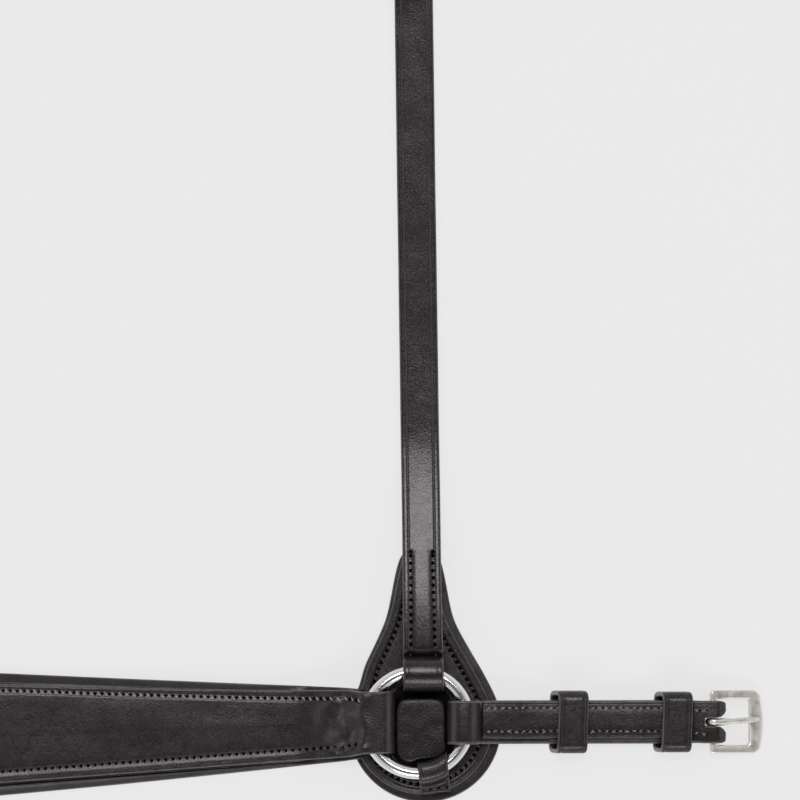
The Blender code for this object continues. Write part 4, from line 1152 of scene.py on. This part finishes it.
def make_fork(hub_y, hub_z):
    thick, fold = 2.2 * MM, 3.2 * MM
    low = thick / 2
    high = low + thick + GAP
    over = 2.3 * MM + thick / 2
    path = [(42 * MM, low), (30 * MM, low), (20 * MM, low)] + ease((20 * MM, low), (0, hub_z - fold), 4)[:-1]
    path += arc((0, hub_z), fold, -90, -270, 10) + ease((0, hub_z + fold), (20 * MM, high), 4)
    path += [(44 * MM, high)] + ease((44 * MM, high), (60 * MM, over), 3) + [(100 * MM, over),
            (150 * MM, over)]
    rows = [(0, y + hub_y, z, 1, 0, 0, 19 * MM, thick, y) for y, z in path]
    trunk = Strap(rows, crowned(0.15, 5, 2.0, 0.25), 1.2 * MM, 0.7 * MM)
    finish_piece(trunk.build("fork_trunk", STRAP), "fork", ["fork_trunk"], "black_leather")
    spots = []
    base = trunk.at[-1] - 150 * MM
    for sign in (-1, 1):
        for i in range(10):
            spots.append(trunk.spot(base + (12 + 2.95 * i) * MM, sign * 6.4 * MM))
            spots.append(trunk.spot(base + (118 + 2.95 * i) * MM, sign * 6.4 * MM))
    for i in range(4):
        spots.append(crosswise(trunk.spot(base + 147.6 * MM, (-4.4 + 2.9 * i) * MM)))
    finish_piece(on_spots("fork_stitches", spots, 0.34 * MM, 2.1 * MM, SHEEN_PAINTED_THREAD, 0.45 * MM, 1.47 * MM,
                          0.3), "fork", (), "black_leather")

    width, thick = 9.2 * MM, 2.0 * MM
    z = thick / 2
    sewn = hub_y + 115 * MM
    x0 = width / 2 + GAP
    spread, long = 56 * MM, 165 * MM
    rows = [(x0, sewn, z, 1, 0, 0, width, thick, 0)]
    for i in range(31):
        share = i / 30
        slope = 2 * spread * share / long
        d = math.hypot(1, slope)
        rows.append((x0 + spread * share ** 2, sewn + 38 * MM + long * share, z, 1 / d, -slope / d, 0, width,
                     thick, 0))
    d = math.hypot(slope, 1)
    along = np.array([slope / d, 1 / d])
    across = np.array([along[1], -along[0]])
    hub = np.array(rows[-1][:2]) + along * 6 * MM
    fold = 3.7 * MM
    rise = fold + z
    for u, h in arc((0, rise), fold, -90, 90, 10):
        rows.append((*(hub + along * u), h, across[0], across[1], 0, width, thick, 1))
    back = ease((0, rise + fold), (-14 * MM, z + thick + GAP), 4) + [(-22 * MM, z + thick + GAP),
                                                                     (-30 * MM, z + thick + GAP)]
    for u, h in back:
        bend = 0.5 * (2 * spread / long ** 2) * (min(0.0, u + 6 * MM)) ** 2 * along[1] ** 3
        rows.append((*(hub + along * u - across * bend), h, across[0], across[1], 0, width, thick, 1))
    arm = Strap(rows, crowned(0.12, 3, 1.4, 0.2), 1.2 * MM, 0.65 * MM)
    finish_piece(arm.build("fork_arm_right", STRAP), "fork", ["fork_arm_right"], "black_leather",
                 ("fork_arm_left", "fork", ["fork_arm_left"]))
    spots = []
    for sign in (-1, 1):
        for i in range(5):
            spots.append(arm.spot(arm.at[-1] - (2.0 + 2.9 * i) * MM, sign * 2.4 * MM))
    finish_piece(on_spots("right_arm_stitches", spots, 0.32 * MM, 2.0 * MM, SHEEN_PAINTED_THREAD, 0.4 * MM, 1.45 * MM,
                          0.3), "fork", (), "black_leather",
                 ("left_arm_stitches", "fork", ()))
    mid = hub + along * 12.6 * MM
    q = np.linspace(0, 2 * math.pi, 96, endpoint=False)
    path = np.column_stack([mid[0] + 13 * MM * np.cos(q), mid[1] + 13 * MM * np.sin(q), np.full(96, rise)])
    finish_piece(tube_ring("fork_ring_right", path, (0, 0, 1), 2 * MM, 18, RINGS), "right_fork_ring",
                 ["fork_ring_right"], "polished_steel",
                 ("fork_ring_left", "left_fork_ring", ["fork_ring_left"]))


make_fork(*make_square())


# ---------------------------------------------------------------- table, light and camera
def make_stage():
    m, tree, shader = nodes_of("table")
    coord = tree.nodes.new("ShaderNodeTexCoord").outputs["Object"]
    cloud = noise_node(tree, coord, 3.0, 2.0)
    tree.links.new(blend_colour(tree, cloud, (0.150, 0.150, 0.151), (0.156, 0.156, 0.157)),
                   shader.inputs["Base Color"])
    shader.inputs["Roughness"].default_value = 0.9
    shader.inputs["Specular IOR Level"].default_value = 0.0
    shader.inputs["Emission Color"].default_value = (1, 1, 1.004, 1)
    shader.inputs["Emission Strength"].default_value = 0.683
    mesh = bpy.data.meshes.new("table")
    q = [2 * math.pi * i / 64 for i in range(64)]
    mesh.from_pydata([(30 * math.cos(a), 30 * math.sin(a), -0.00015) for a in q], [], [tuple(range(64))])
    mesh.materials.append(m)
    table = bpy.data.objects.new("table", mesh)
    scene.collection.objects.link(table)

    world = bpy.data.worlds.new("studio")
    scene.world = world
    world.use_nodes = True
    tree = world.node_tree
    back = tree.nodes["Background"]
    coord = tree.nodes.new("ShaderNodeTexCoord").outputs["Generated"]
    dot = tree.nodes.new("ShaderNodeVectorMath")
    dot.operation = "DOT_PRODUCT"
    dot.inputs[1].default_value = (0.0, 0.0, 1.0)
    flatten = tree.nodes.new("ShaderNodeVectorMath")
    flatten.operation = "MULTIPLY"
    flatten.inputs[1].default_value = (0.45, 1.0, 1.0)
    unit = tree.nodes.new("ShaderNodeVectorMath")
    unit.operation = "NORMALIZE"
    tree.links.new(coord, flatten.inputs[0])
    tree.links.new(flatten.outputs[0], unit.inputs[0])
    tree.links.new(unit.outputs[0], dot.inputs[0])
    cap = span(tree, dot.outputs["Value"], math.cos(math.radians(30)), math.cos(math.radians(9)), 0.0, -0.40,
               True)
    rest = span(tree, dot.outputs["Value"], 0.0, math.cos(math.radians(20)), 0.78, 0.50)
    glow = maths(tree, "ADD", cap, rest)
    back.inputs["Color"].default_value = (1.0, 1.0, 1.004, 1)
    tree.links.new(glow, back.inputs["Strength"])

    def softbox(name, place, aim, size, power):
        data = bpy.data.lights.new(name, "AREA")
        data.shape, data.size, data.size_y, data.energy = "RECTANGLE", size[0], size[1], power
        data.color = (1.0, 0.995, 0.985)
        lamp = bpy.data.objects.new(name, data)
        lamp.location = place
        lamp.rotation_euler = (Vector(aim) - Vector(place)).to_track_quat("-Z", "Y").to_euler()
        lamp.visible_camera = False
        scene.collection.objects.link(lamp)

    softbox("key_light", (0.25, 2.25, 7.4), (0.25, 0.08, 0), (3.4, 1.25), 150.0)
    softbox("near_light", (0.45, -5.4, 5.3), (0.25, 0.05, 0), (5.4, 2.1), 150.0)
    softbox("left_light", (-5.9, 0.2, 4.6), (0.2, 0.1, 0), (2.1, 4.8), 38.0)
    softbox("right_light", (6.6, 0.3, 4.8), (0.2, 0.1, 0), (2.1, 4.8), 34.0)


def make_camera():
    data = bpy.data.cameras.new("camera")
    data.sensor_width = 36
    distance, field = 6.0, 0.328
    data.lens = 36 * distance / field
    data.clip_start, data.clip_end = 0.05, 100
    cam = bpy.data.objects.new("camera", data)
    cam.location = (RX - 7.2 * MM, RY + 132 * MM, distance + 8 * MM)
    scene.collection.objects.link(cam)
    scene.camera = cam


make_stage()
make_camera()
scene.view_settings.view_transform = "Standard"
scene.view_settings.look = "None"
